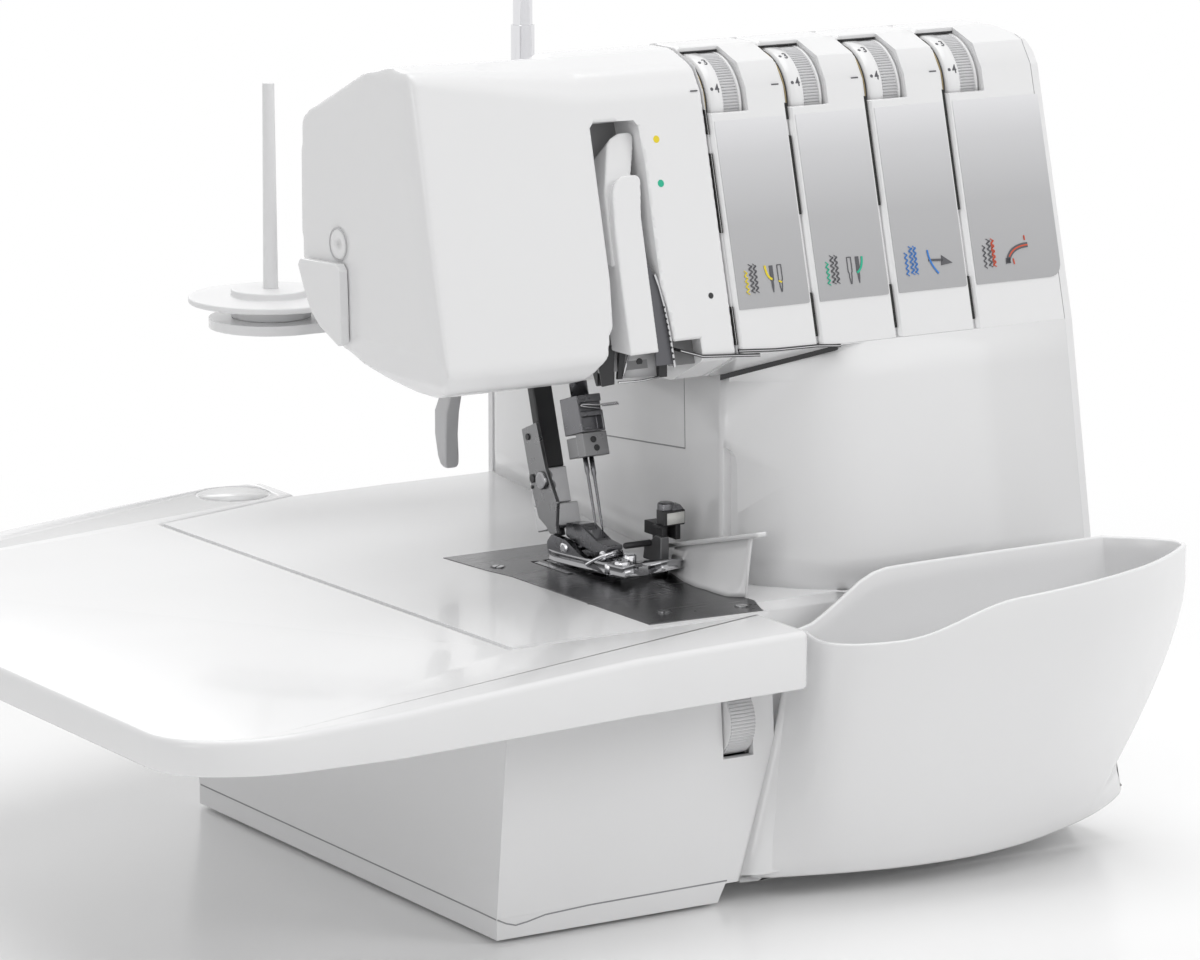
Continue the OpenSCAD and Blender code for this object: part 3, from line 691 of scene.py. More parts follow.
def rounded_node(node, material, width, segments=3):
    """Stands for a CAD node with the same shape and softened edges."""
    piece = new_piece("soft_" + node, node_mesh(node), material)
    bevelled(piece, width, segments=segments)
    return settled(piece, piece_body(node), SLOT_OF[material], node)


def piece_body(node):
    """Body that carries a CAD node."""
    for body, members in frame["record"]["behaviour"]["bodies"].items():
        if node in members:
            return body
    raise KeyError(node)


# ---------------------------------------------------------------- repeats made with Geometry Nodes


class NodeTree:
    """Geometry Nodes tree with named inputs, ending in Realize Instances and Set Material."""

    def __init__(self, name, **inputs):
        self.tree = bpy.data.node_groups.new(name, "GeometryNodeTree")
        self.ids = {}
        for key, kind in inputs.items():
            socket = self.tree.interface.new_socket(name=key, in_out="INPUT", socket_type=kind)
            self.ids[key] = socket.identifier
        self.tree.interface.new_socket(name="Geometry", in_out="OUTPUT", socket_type="NodeSocketGeometry")
        self.given = self.tree.nodes.new("NodeGroupInput")

    def node(self, kind, values, out=0):
        made = self.tree.nodes.new(kind)
        for key, value in values.items():
            if isinstance(value, bpy.types.NodeSocket):
                self.tree.links.new(value, made.inputs[key])
            else:
                made.inputs[key].default_value = value
        return made.outputs[out]

    def finish(self, geometry):
        whole = self.node("GeometryNodeRealizeInstances", {"Geometry": geometry})
        dressed = self.node(
            "GeometryNodeSetMaterial", {"Geometry": whole, "Material": self.given.outputs["Material"]})
        end = self.tree.nodes.new("NodeGroupOutput")
        self.tree.links.new(dressed, end.inputs[0])
        return self

    def grown(self, name, material, **values):
        """Plain mesh that the tree gives for these inputs."""
        holder = bpy.data.objects.new(name, bpy.data.meshes.new(name))
        bpy.context.scene.collection.objects.link(holder)
        step = holder.modifiers.new("grow", "NODES")
        step.node_group = self.tree
        for key, value in values.items():
            step[self.ids[key]] = value
        step[self.ids["Material"]] = MATERIALS[material]
        return applied(holder)


def ring_tree():
    """Round ribs side by side on a ring about a line along X."""
    tree = NodeTree(
        "ring_of_ribs", Count="NodeSocketInt", Radius="NodeSocketFloat", Length="NodeSocketFloat",
        Rib="NodeSocketFloat", Place="NodeSocketVector", Material="NodeSocketMaterial")
    given = tree.given.outputs
    ring = tree.node("GeometryNodeMeshCircle", {"Vertices": given["Count"], "Radius": given["Radius"]})
    rib = tree.node(
        "GeometryNodeMeshCylinder", {"Vertices": 6, "Radius": given["Rib"], "Depth": given["Length"]})
    ribs = tree.node("GeometryNodeInstanceOnPoints", {"Points": ring, "Instance": rib})
    turned = tree.node("GeometryNodeTransform", {
        "Geometry": ribs, "Rotation": (0, math.pi / 2, 0), "Translation": given["Place"]})
    return tree.finish(turned)


def screw_tree():
    """Slotted screw heads on upright axes, one at each point of a line that the inputs place."""
    tree = NodeTree(
        "slotted_screws", Radius="NodeSocketFloat", Height="NodeSocketFloat", Slot="NodeSocketFloat",
        Turn="NodeSocketFloat", Place="NodeSocketVector", Material="NodeSocketMaterial")
    given = tree.given.outputs
    head = tree.node("GeometryNodeMeshCylinder", {
        "Vertices": 40, "Radius": given["Radius"], "Depth": given["Height"]})
    size = tree.node("ShaderNodeCombineXYZ", {"X": 0.02, "Y": given["Slot"], "Z": given["Height"]})
    blade = tree.node("GeometryNodeMeshCube", {"Size": size})
    lift = tree.node("ShaderNodeCombineXYZ", {"Z": given["Slot"]})
    turn = tree.node("ShaderNodeCombineXYZ", {"Z": given["Turn"]})
    cutter = tree.node("GeometryNodeTransform", {"Geometry": blade, "Translation": lift, "Rotation": turn})
    slotted = tree.node("GeometryNodeMeshBoolean", {"Mesh 1": head, "Mesh 2": cutter})
    placed = tree.node("GeometryNodeTransform", {"Geometry": slotted, "Translation": given["Place"]})
    return tree.finish(placed)


# ---------------------------------------------------------------- settings


class OverlockSettings(bpy.types.PropertyGroup):
    """Colours and sizes of the machine's visible pieces."""

    casing_colour: bpy.props.FloatVectorProperty(
        name="Casing colour", description="Colour of the white casings", subtype="COLOR",
        size=3, min=0, max=1, default=(0.86, 0.86, 0.865))
    casing_gloss: bpy.props.FloatProperty(
        name="Casing roughness", description="Roughness of the white casings", min=0.05, max=0.9, default=0.22)
    dial_colour: bpy.props.FloatVectorProperty(
        name="Dial colour", description="Colour of the tension dials", subtype="COLOR",
        size=3, min=0, max=1, default=(0.62, 0.62, 0.63))
    label_colour: bpy.props.FloatVectorProperty(
        name="Label colour", description="Colour of the silver column labels", subtype="COLOR",
        size=3, min=0, max=1, default=(0.50, 0.50, 0.51))
    edge_round: bpy.props.FloatProperty(
        name="Edge rounding", description="Rounding of the spool stand's edges", subtype="DISTANCE", unit="LENGTH",
        min=0.0002, max=0.004, default=0.0016)


def look():
    return bpy.context.scene.overlock


# ---------------------------------------------------------------- operators


POD_SIDE = [
    (35.9, 204.0), (41, 196.2), (52, 193.0), (70, 193.0), (84, 195), (97, 198), (112, 202.6), (124, 206),
    (141.5, 229), (143.5, 250), (142.5, 286), (136.5, 290.5), (96, 308.5)]
POD_TURNS = [4, 8, 10, 10, 20, 20, 20, 12, 20, 30, 6, 10, 14]
# Corners of the brow at the head's left side and where it meets the columns
POD_RIGHT = 75.4
POD_BROW = [((80, 312.4), (80, 311)), ((66, 311.6), (66, 306)), ((63.0, 308.4), (59.9, 297))]
FRONT = [
    (0.6, 212), (2.6, 199), (9, 190), (26, 187), (53, 187), (63.5, 193.6), (71.0, 204.5), (73.8, 215.5),
    (75.2, 232), (75.4, 318), (5, 318), (1.6, 308), (0.6, 280),
]
ARM = [
    (34.8, 200), (57, 189), (212, 189), (212, 257), (96, 311), (80, 311), (66, 306), (59.9, 297),
]
SLOT = [
    (60, 180), (111.2, 180), (111.2, 207.9), (99.8, 207.9), (98.9, 220), (97.2, 229), (97.1, 248), (97.4, 272),
    (96.4, 286.4), (94.6, 288.5), (77.2, 288.8), (75.5, 287), (75.4, 232), (74.0, 215.5), (71.2, 204.5),
    (63.6, 193.5)]


class OVERLOCK_OT_head(bpy.types.Operator):
    """Rounded head cover with the slot of the take-up covers, and the head behind the thread columns"""

    bl_idname = "overlock.head"
    bl_label = "Head"

    def execute(self, context):
        sides = []
        for x in (0.4, 20, 40, 60, POD_RIGHT):
            part = x / POD_RIGHT
            brow = [Vector(sharp).lerp(Vector(blunt), part) for sharp, blunt in POD_BROW]
            turns = POD_TURNS + [14, 4 + 10 * part, 2 + 12 * part]
            sides.append(set_in(0, bowed(POD_SIDE + brow, turns), x))
        pod = new_piece("head_shell", skin(sides), "white_gloss")
        plan = bowed([(1, 32), (80, 32), (80, 170), (1, 170)], [10, 0, 0, 16], 8)
        lean_plan = skin([[(p.x, p.y + (z - 208) * 0.291, z) for p in plan] for z in (150, 340)])
        carved(pod, "INTERSECT", along_y(bowed(FRONT, 9), 10, 170), lean_plan)
        arm = new_piece("arm", along_x(bowed(ARM, [3, 3, 3, 8, 14, 10, 10, 10]), 75.3, 126.5), "white_gloss")
        made = bmesh.new()
        for part in (pod, arm):
            made.from_mesh(part.data)
            bpy.data.objects.remove(part)
        shell = new_piece("head_shell", made, "white_gloss")
        softened(shell, 1.0, 8, 0.45)
        carved(shell, "DIFFERENCE", along_y(SLOT, 0, 74))
        settled(shell, "machine", "white_plastic", "head_cover")
        rear = new_piece("head_rear", node_mesh("head_casing"), "white_gloss")
        carved(rear, "DIFFERENCE", block(0, HEAD_SPLIT, 0, 400, 100, 400))
        carved(rear, "INTERSECT", rounded_end())
        bevelled(rear, 0.6)
        settled(rear, "machine", "white_plastic", "head_casing")
        return {"FINISHED"}


def rounded_end():
    """Block round the whole machine whose top right edge is rounded."""
    right = (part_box("side_cover")[1].x - BENCH.x) / MM
    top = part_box("column_cover_4")[1].z / MM
    corners = [(-50, -5), (right + 0.5, -5), (right + 0.5, top + 0.5), (-50, top + 0.5)]
    return along_y(bowed(corners, [0, 0, 15, 0], 10), -20, 400)


def edge_cutter(x, size):
    """Wedge that chamfers a column cover's front left edge."""
    profile = [(panel_y(198), 198), (panel_y(297), 297), (66, 306), (80, 311), (100, 311)]
    rings = []
    for i, place in enumerate(profile):
        before = Vector(profile[max(i - 1, 0)])
        after = Vector(profile[min(i + 1, len(profile) - 1)])
        along = (after - before).normalized()
        out = Vector((-along.y, along.x))
        front = Vector(place) + out * 0.5
        back = Vector(place) - out * (size + 0.5)
        rings.append([(x + size + 0.5, front.x, front.y), (x - 0.5, front.x, front.y), (x - 0.5, back.x, back.y)])
    return skin(rings)


def paddle(name, outline, front, back, fall):
    """Take-up cover in the head slot, whose top falls away towards the back."""
    rings = []
    for depth in (front, back):
        drop = fall * (depth - front)
        rings.append([(x, panel_y(z) + depth, z - drop if z > 240 else z) for x, z in outline])
    return softened(new_piece(name, skin(rings), "white_gloss"), 0.5, 5)


class OVERLOCK_OT_columns(bpy.types.Operator):
    """Thread column covers, right cover, take-up covers, thread cutter and the lifter's handle"""

    bl_idname = "overlock.columns"
    bl_label = "Thread columns"

    def execute(self, context):
        for i in range(4):
            node = f"column_cover_{i + 1}"
            cover = new_piece("thread_" + node, node_mesh(node), "white_gloss")
            carved(cover, "DIFFERENCE", edge_cutter(column_left(i), 1.3))
            if i == 3:
                carved(cover, "INTERSECT", rounded_end())
            bevelled(cover, 0.7)
            settled(cover, "machine", "white_plastic", node)
        side = new_piece("right_cover", node_mesh("side_cover"), "white_gloss", smooth=False)
        carved(side, "INTERSECT", rounded_end())
        settled(side, "machine", "white_plastic", "side_cover")
        long_paddle = paddle("lower_paddle", [
            (80.9, 204.0), (93.2, 204.3), (93.4, 236), (93.5, 254.5), (94.6, 262), (95.2, 266.8), (94.4, 268.5),
            (92.4, 269), (86.8, 268.8), (83.8, 266.6), (82.2, 263), (81.2, 249), (80.9, 229)], 1.0, 15, 0.7)
        settled(long_paddle, "machine", "white_plastic", "take_up_covers")
        short_paddle = paddle("upper_paddle", [
            (80.0, 236), (92.0, 236), (93.3, 268.7), (95.7, 278.4), (96.3, 282), (95.8, 283.4), (94.0, 283.8),
            (89.4, 283.6), (86.4, 282.2), (84.6, 280.3), (82.6, 271.5), (80.7, 263)], 4.2, 16, 0.8)
        settled(short_paddle, "machine", "white_plastic")
        added("cutter_flap", along_x(bowed([
            (138.8, 231.8), (137.2, 234.2), (109.4, 235.7), (107.0, 233.4), (106.2, 216.6), (106.1, 206.4),
            (108, 204.8), (111.3, 206.0), (122.8, 210.6), (129.2, 215.4), (134.4, 223.2)], 1.5), -3.2, 0.6),
            "white_gloss", "thread_cutter", bevel=0.6)
        added(
            "cutter_slit", along_x([(110.4, 233.2), (108.4, 229.6), (107.6, 222.5), (109.2, 229.0)], 0.1, 0.6),
            "shadow_grey", smooth=False)
        sections = (
            (86, 95.6, 190, 198), (89.9, 95.7, 191.6, 172), (89.4, 95.0, 192.5, 164), (87.6, 93.9, 193.3, 158),
            (87.2, 93.3, 192.6, 149), (87.2, 93.7, 190.4, 140.4), (87.3, 93.6, 188.6, 137.4),
            (88.0, 92.8, 187.0, 135.8))
        handle = new_piece(
            "lifter_handle", skin([oblong(x0, x1, 184, rear, z) for x0, x1, rear, z in sections]), "lever_grey")
        bevelled(handle, 0.9, 40)
        settled(handle, piece_body("lifter_lever"), "grey_plastic", "lifter_lever")
        return {"FINISHED"}


def tower_ring(z, back):
    """Plan of the tower at a height, with its broad rounded corner."""
    part = (z - BED_TOP) / (PANEL_FOOT[1] - BED_TOP)
    x = 166 + 7 * part
    y = 18.8 + 16 * part
    return bowed([(134.6, 58), (x, y), (SIDE_X, y), (SIDE_X, back), (171, back)], [5, 46, 0, 0, 6], 10)


class OVERLOCK_OT_lower_casing(bpy.types.Operator):
    """Bed, drive block and tower"""

    bl_idname = "overlock.lower_casing"
    bl_label = "Lower casing"

    def execute(self, context):
        lower = new_piece("lower_casing", node_mesh("main_casing"), "white_gloss")
        carved(lower, "DIFFERENCE", block(120, 300, -20, 400, BED_TOP + 0.02, 240))
        bevelled(lower, 1.2)
        settled(lower, "machine", "white_plastic", "main_casing")
        rings = [set_in(2, tower_ring(z, 288.8), z) for z in (107.5, 120, 135, 150, 165, 186)]
        rings += [set_in(2, tower_ring(z, 212), z) for z in (186, 200.2)]
        tower = new_piece("tower", skin(rings), "white_gloss")
        groove = [(135.0, 57.5), (139.4, 58.4), (139.2, 53.4), (137.9, 52.2), (136.2, 54.4)]
        corner = Vector(groove[0])
        scoop = []
        for z, part in ((100, 1), (154, 1), (157, 0.92), (159, 0.7), (160.4, 0.3)):
            scoop.append(
                [(corner.x + (x - corner.x) * part, corner.y + (y - corner.y) * part, z) for x, y in groove])
        carved(tower, "DIFFERENCE", skin(scoop))
        settled(tower, "machine", "white_plastic")
        rounded_node("base_pan", "white_gloss", 1.2)
        added(
            "rear_corner",
            skin([oblong(119.1, 124.5, back - 5, back, z) for back, z in ((288.9, 9.6), (291.6, 107.5))]),
            "white_gloss", bevel=0.4)
        left = [(0.4, 9.3), (12, 9.4), (229, 9.4)]
        front = [(0.2, 9.3), (4, 7.4), (8, 6.2), (13, 6.8), (20.6, 8.3), (40, 9.1), (100, 9.4)]
        joint = joined(
            along_x(stroke(left, GROOVE_W), -0.06, 0.3), along_y(stroke(front, GROOVE_W), -0.06, 0.3))
        added("base_joint", joint, "joint_grey", smooth=False)
        return {"FINISHED"}


TABLE = [
    (118.5, 7.4), (10.9, 7.4), (4.4, 267.6), (73, 288), (78.6, 291.5), (78.6, 320), (53.6, 323.5), (8, 311),
    (-55.8, 291), (-159, 258), (-159, -50), (-129, -65.6), (-73, -58), (0, -41.5), (40.5, -32.9), (118.5, -27.3),
]
TABLE_SKIRT = [(-200, 95.6), (-130, 95), (-100, 93), (-60, 91.2), (0, 88.4), (60, 86.2), (140, 86.2)]


class OVERLOCK_OT_table(bpy.types.Operator):
    """Extension table with a rounded rim and a skirt"""

    bl_idname = "overlock.table"
    bl_label = "Extension table"

    def execute(self, context):
        outline = bowed(TABLE, [2, 1, 1, 3, 3, 4, 4, 60, 60, 38, 30, 60, 60, 60, 60, 5], 8)
        edge = 2.6
        skirt = smooth_line(TABLE_SKIRT)
        rings = []
        top = BED_TOP - 3
        for depth, level in ((2.5, top), (2.5, 0.6), (2.3, 0.2), (1.6, 0), (0.5, 0.3), (0.1, 1.0)):
            rings.append([
                (p.x, p.y, level if level == top else straight(skirt, p.x) + level) for p in inset(outline, depth)])
        for k in range(6):
            a = math.pi / 2 * k / 5
            rings.append(set_in(2, inset(outline, edge * (1 - math.cos(a))), BED_TOP - edge + edge * math.sin(a)))
        table = new_piece("table", skin(rings), "white_gloss")
        carved(table, "DIFFERENCE", ring(2, 107.5, 109, 56.7, 304.7, 15.6, 14.4))
        settled(table, "slide_table", "white_plastic", "slide_table")
        return {"FINISHED"}


BIN_FOOT = [
    (105, 0.2), (113, -1.2), (140, -10.5), (159, -15.5), (172, -17.8), (186, -19.2), (200, -19.6),
    (214, -18.8), (230, -17.0), (246, -14.2), (262, -11.0), (274, -8.0), (281, -4.6), (283, -1.0), (282, 1.2),
]
BIN_RIM = [
    (136, 19.6), (133.5, 2), (129.4, -10), (128, -18), (130, -25), (136, -30.6), (146, -34.4),
    (162, -38.4), (184, -42.6), (212, -47.2), (232, -49.8), (244, -49.6), (258, -46), (274, -38),
    (288, -28.5), (296, -22.5), (298, -18), (296, -11), (288, -1), (277, 8.4), (274, 19.6),
]
BIN_KEEL = [(60, 8), (190, 8), (220, 9), (232, 10), (248, 11.6), (262, 13.6), (274, 16.6), (283, 19.4), (300, 21)]
BIN_FRONT = [
    (100, 101), (150, 101.2), (160, 102.2), (168, 104.4), (176, 107.2), (186, 111), (196, 113.8), (212, 115.3),
    (229, 117.3), (240, 118.6), (254, 119.5), (310, 119.5),
]
BIN_BACK = [
    (100, 99.5), (136, 99.8), (144, 103), (156, 110.4), (164, 115.6), (171, 118.4), (180, 119.4), (310, 119.5),
]


class OVERLOCK_OT_bin(bpy.types.Operator):
    """Waste bin with a wavy lip"""

    bl_idname = "overlock.bin"
    bl_label = "Waste bin"

    def execute(self, context):
        count = 150
        foot = spread(smooth_line(BIN_FOOT), count)
        rim = spread(smooth_line(BIN_RIM), count)
        keel, front_lip, back_lip = (smooth_line(stops) for stops in (BIN_KEEL, BIN_FRONT, BIN_BACK))
        back_count = 24

        def level(part, fall):
            """Outline at a part of each point's own height, fall millimetres under the lip."""
            out = []
            for f, r in zip(foot, rim):
                lip = straight(front_lip if r.y < 1 else back_lip, r.x)
                base = straight(keel, f.x)
                z = base + (lip - base) * part - fall
                t = min(max((z - base) / (BED_TOP - 4 - base), 0), 1)
                t = 1 - (1 - t) ** between([(200, 1.12), (275, 1.55)], f.x)
                out.append((f.x + (r.x - f.x) * t, min(f.y + (r.y - f.y) * t, back_y(z)), z))
            a, b = out[-1], out[0]
            for k in range(1, back_count):
                t = k / back_count
                x = a[0] + (b[0] - a[0]) * t
                base = straight(keel, x)
                z = base + (straight(back_lip, x) - base) * part - fall
                out.append((x, back_y(z), z))
            return out

        def back_y(z):
            return bed_y(z) - 0.6

        def inner(ring, depth):
            flat = inset([(p[0], p[1]) for p in ring], depth)
            return [(q.x, q.y, p[2]) for q, p in zip(flat, ring)]

        rings = [inner(level(0, 0), 1.6), inner(level(0, -0.5), 0.5), level(0, -1.6)]
        rings += [level(k / 14, 0) for k in range(1, 14)]
        rings += [level(1, 0.9), inner(level(1, 0.25), 0.3), inner(level(1, 0), 1.1), inner(level(1, 0.25), 1.9),
                  inner(level(1, 0.9), 2.2)]
        rings += [inner(level(k / 14, 0), 2.2) for k in range(13, 1, -1)]
        rings += [inner(level(0, -3.6), 2.4), inner(level(0, -2.6), 3.4)]
        added("bin", skin(rings), "white_gloss", "waste_bin", body="waste_bin")
        return {"FINISHED"}


# ---------------------------------------------------------------- marks on the sloping panel


# Heights of the labels' lower and upper edges
LABEL = (216.6, 285.7)
ICON_LIFT = 0.35


def marks(name, material, *outlines):
    """One piece of printed marks on the labels, coloured ones over grey ones."""
    lift = ICON_LIFT if material == "mark_grey" else ICON_LIFT + 0.05
    piece = new_piece(name, joined(*[decal(outline, lift) for outline in outlines]), material, smooth=False)
    return settled(piece, "machine", "white_plastic")


def zigzag(x, z, width, rows=5):
    """Thread that swings from side to side as it climbs a millimetre a swing."""
    line = [(x + (width if k % 2 else 0), z + k) for k in range(2 * rows + 1)]
    return stroke(line, 0.34)


def chain(x, z):
    """Overlocked edge: a strand down the left and two crossing columns of loops."""
    strand = [zigzag(x, z + 0.4, 1.3, 4), zigzag(x + 1.3, z - 0.3, -1.3, 4)]
    loops = [
        zigzag(x + 2.2, z + 0.6, 1.7), zigzag(x + 3.9, z, -1.7), zigzag(x + 4.2, z + 0.6, 1.4),
        zigzag(x + 5.6, z, -1.4)]
    return strand, loops


def needle_mark(x, z, width=1.6):
    """Needle with its point down: its eye's narrow part, then its thick shank."""
    half = width / 2
    slim = half * 0.62
    right = [(0.15, 0), (slim, 2.4), (slim, 4.0), (half, 4.4), (half, 9.8)]
    return [(x - side, z + rise) for side, rise in reversed(right)] + [(x + side, z + rise) for side, rise in right]


def hollow_needle(x, z):
    """Needle that is drawn as its outline."""
    outline = needle_mark(x, z, 1.8)
    return [stroke([outline[i - 1], outline[i]], 0.32) for i in range(len(outline))]


class OVERLOCK_OT_labels(bpy.types.Operator):
    """Silver labels of the thread columns and the pictures of their threads"""

    bl_idname = "overlock.labels"
    bl_label = "Column labels"

    def execute(self, context):
        plates = []
        for i in range(4):
            left, right = column_left(i) + 2.1, column_right(i) - 0.7
            corner = 1.0
            if i == 3:
                right, corner = 279.9, 6.0
            low, high = LABEL
            outline = bowed([(left, low), (right, low), (right, high), (left, high)], [0.4, corner, 0.4, 0.4], 6)
            plates.append(decal(outline, 0.0, 0.25))
        added("column_label_plates", joined(*plates), "label_silver", "column_labels", smooth=False)
        x = [column_left(i) for i in range(4)]
        edges = [
            chain(x[0] + 6.2, 222.2), chain(x[1] + 6.6, 222.4), chain(x[2] + 6.6, 222.8), chain(x[3] + 6.8, 222.6)]
        looper = curve_line([(x[3] + 18.0, 223.6), (x[3] + 19.4, 229.6), (x[3] + 28.2, 229.6)])
        arrow = [(x[2] + 23.6, 229.0), (x[2] + 28.4, 225.8), (x[2] + 23.0, 225.2)]
        looper_foot = [(x[3] + 17.0, 223.2), (x[3] + 19.4, 223.4), (x[3] + 18.9, 225.4), (x[3] + 17.2, 225.4)]
        marks("thread_marks_grey", "mark_grey", *(
            edges[0][1] + edges[1][1] + edges[3][1][:2] + edges[3][0]
            + [needle_mark(x[0] + 18.3, 221.8)] + hollow_needle(x[0] + 22.0, 221.8)
            + [needle_mark(x[1] + 21.1, 221.9)] + hollow_needle(x[1] + 17.4, 221.9)
            + [stroke([(x[2] + 17.4, 227.6), (x[2] + 24.0, 227.2)], 0.9), arrow, stroke(looper, 1.9), looper_foot]))
        marks("thread_marks_yellow", "mark_yellow", *(edges[0][0] + [
            stroke(curve_line([(x[0] + 15.6, 231.8), (x[0] + 15.9, 227.4), (x[0] + 18.3, 226.6)]), 0.8),
            stroke([(x[0] + 21.0, 225.8), (x[0] + 22.4, 225.2)], 0.6)]))
        marks("thread_marks_green", "mark_green", *(edges[1][0] + [
            stroke(curve_line([(x[1] + 23.4, 231.6), (x[1] + 23.2, 227.0), (x[1] + 20.4, 225.8)]), 0.8)]))
        marks("thread_marks_blue", "mark_blue", *(edges[2][0] + edges[2][1] + [
            stroke(curve_line([(x[2] + 17.4, 231.4), (x[2] + 17.6, 226.4), (x[2] + 21.4, 222.4)]), 0.7)]))
        marks("thread_marks_red", "mark_red", *(edges[3][1][2:] + [
            zigzag(x[3] + 11.0, 222.9, 0.5, 4),
            stroke(looper[2:], 0.55), stroke([(x[3] + 27.0, 233.2), (x[3] + 27.1, 231.4)], 0.5),
            stroke([(x[3] + 20.6, 225.0), (x[3] + 20.9, 222.8)], 0.5)]))
        return {"FINISHED"}


# ---------------------------------------------------------------- dials

DIAL_Y = 80.6
DIAL_Z = 288.5
DIAL_R = 20.0
DIAL_STEP = 36.0
WINDOW_W = 17.8
# Distance right of the column's left edge, and depth under the dial's radius
DRUM = [
    (2.1, 16.8), (2.1, 1.3), (2.3, 0.9), (2.9, 0.2), (3.2, 0), (8.7, 0), (8.9, 0.2), (9.0, 1.0), (15.9, 1.0),
    (16.0, 0.2), (16.2, 0), (16.9, 0), (17.2, 0.4), (17.3, 1.2), (17.3, 16.8),
]


def numeral(text, size):
    """Flat outline mesh of a number, centred, in millimetres."""
    curve = bpy.data.curves.new("numeral", "FONT")
    curve.body = text
    curve.size = size
    curve.align_x = "CENTER"
    curve.align_y = "CENTER"
    curve.extrude = 0.09
    curve.offset = 0.1
    curve.resolution_u = 3
    holder = bpy.data.objects.new("numeral", curve)
    bpy.context.scene.collection.objects.link(holder)
    graph = bpy.context.evaluated_depsgraph_get()
    made = bmesh.new()
    mesh = bpy.data.meshes.new_from_object(holder.evaluated_get(graph))
    made.from_mesh(mesh)
    bpy.data.meshes.remove(mesh)
    bpy.data.objects.remove(holder)
    bpy.data.curves.remove(curve)
    return made


def on_drum(made, x, y, z, radius, turn):
    """Wraps a flat mark round a drum about a line along X; turn is its angle over the front."""
    for vert in made.verts:
        angle = math.radians(turn) + vert.co.y / radius
        reach = radius + vert.co.z
        vert.co = at(x + vert.co.x, y - reach * math.cos(angle), z + reach * math.sin(angle))
    return made


def dot(radius):
    """Thin round mark in millimetres."""
    made = bmesh.new()
    bmesh.ops.create_cone(made, cap_ends=True, segments=16, radius1=radius, radius2=radius, depth=0.18)
    return made


def washer(x, thick, radius):
    """Flat disc of a tension dial's stack."""
    return lathe_x([(x, 3), (x, radius), (x + thick, radius), (x + thick, 3)], DIAL_Y, DIAL_Z)


class OVERLOCK_OT_dials(bpy.types.Operator):
    """Tension dials with ribbed grips and numbers, and black shade painted into their wells"""

    bl_idname = "overlock.dials"
    bl_label = "Tension dials"

    def execute(self, context):
        ribs = ring_tree()
        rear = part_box("head_casing")[1].z / MM
        rims, well_shades, ticks = [], [], []
        for i in range(4):
            x = column_left(i)
            number = i + 1
            body = f"tension_dial_{number}"
            rims += [washer(x + low, 0.45, 19.2) for low in (0.3, 0.95)]
            # Black disc behind each tension disc and black plate at the back of each dial window, painted as the
            # shade in the dial well
            well_shades.append(washer(x + 1.5, 0.3, 19.3))
            well_shades.append(block(x + 0.1, x + WINDOW_W - 0.1, 79.1, 79.45, rear - 2.2, rear - 1.6))
            ticks.append(decal([(x - 6.6, 297.0), (x - 3.4, 297.0), (x - 3.4, 297.5), (x - 6.6, 297.5)], 0.0, 0.1))
            profile = [(x + place, DIAL_R - depth) for place, depth in DRUM]
            added(f"dial_drum_{number}", lathe_x(profile, DIAL_Y, DIAL_Z, 120), "white_gloss", body, body=body)
            grip = ribs.grown(
                f"dial_grip_{number}", "dial_grey", Count=104, Radius=(DIAL_R - 0.75) * MM, Length=6.8 * MM,
                Rib=0.46 * MM, Place=at(x + 12.45, DIAL_Y, DIAL_Z))
            settled(grip, body, "grey_plastic")
            parts = []
            for value in range(10):
                turn = 25 + (4 - value) * DIAL_STEP
                digit = numeral(str(value), 4.8)
                bmesh.ops.scale(digit, vec=(0.78, 1, 1), verts=digit.verts)
                parts.append(on_drum(digit, x + 7.0, DIAL_Y, DIAL_Z, DIAL_R, turn))
                parts.append(on_drum(dot(0.65), x + 4.6, DIAL_Y, DIAL_Z, DIAL_R, turn))
            added(
                f"dial_numbers_{number}", joined(*parts), "mark_grey", body=body, slot="grey_plastic", smooth=False)
        # The tension discs take the darkened brass, painted shade of their wells
        added("tension_disc_pairs", joined(*rims), "dull_brass", "tension_discs")
        added("dial_well_shade", joined(*well_shades), "black_plastic")
        added("dial_ticks", joined(*ticks), "mark_grey", smooth=False)
        return {"FINISHED"}


# ---------------------------------------------------------------- thread paths

# Column and heights of each strip of painted shade in the thread slots
SLOT_RUNS = [
    (0, 281, 290), (0, 245, 274), (1, 284, 290), (1, 249, 278), (2, 249.5, 290), (3, 245, 290),
    (0, 204, 218), (1, 204, 220), (2, 204, 220), (3, 204, 220),
]


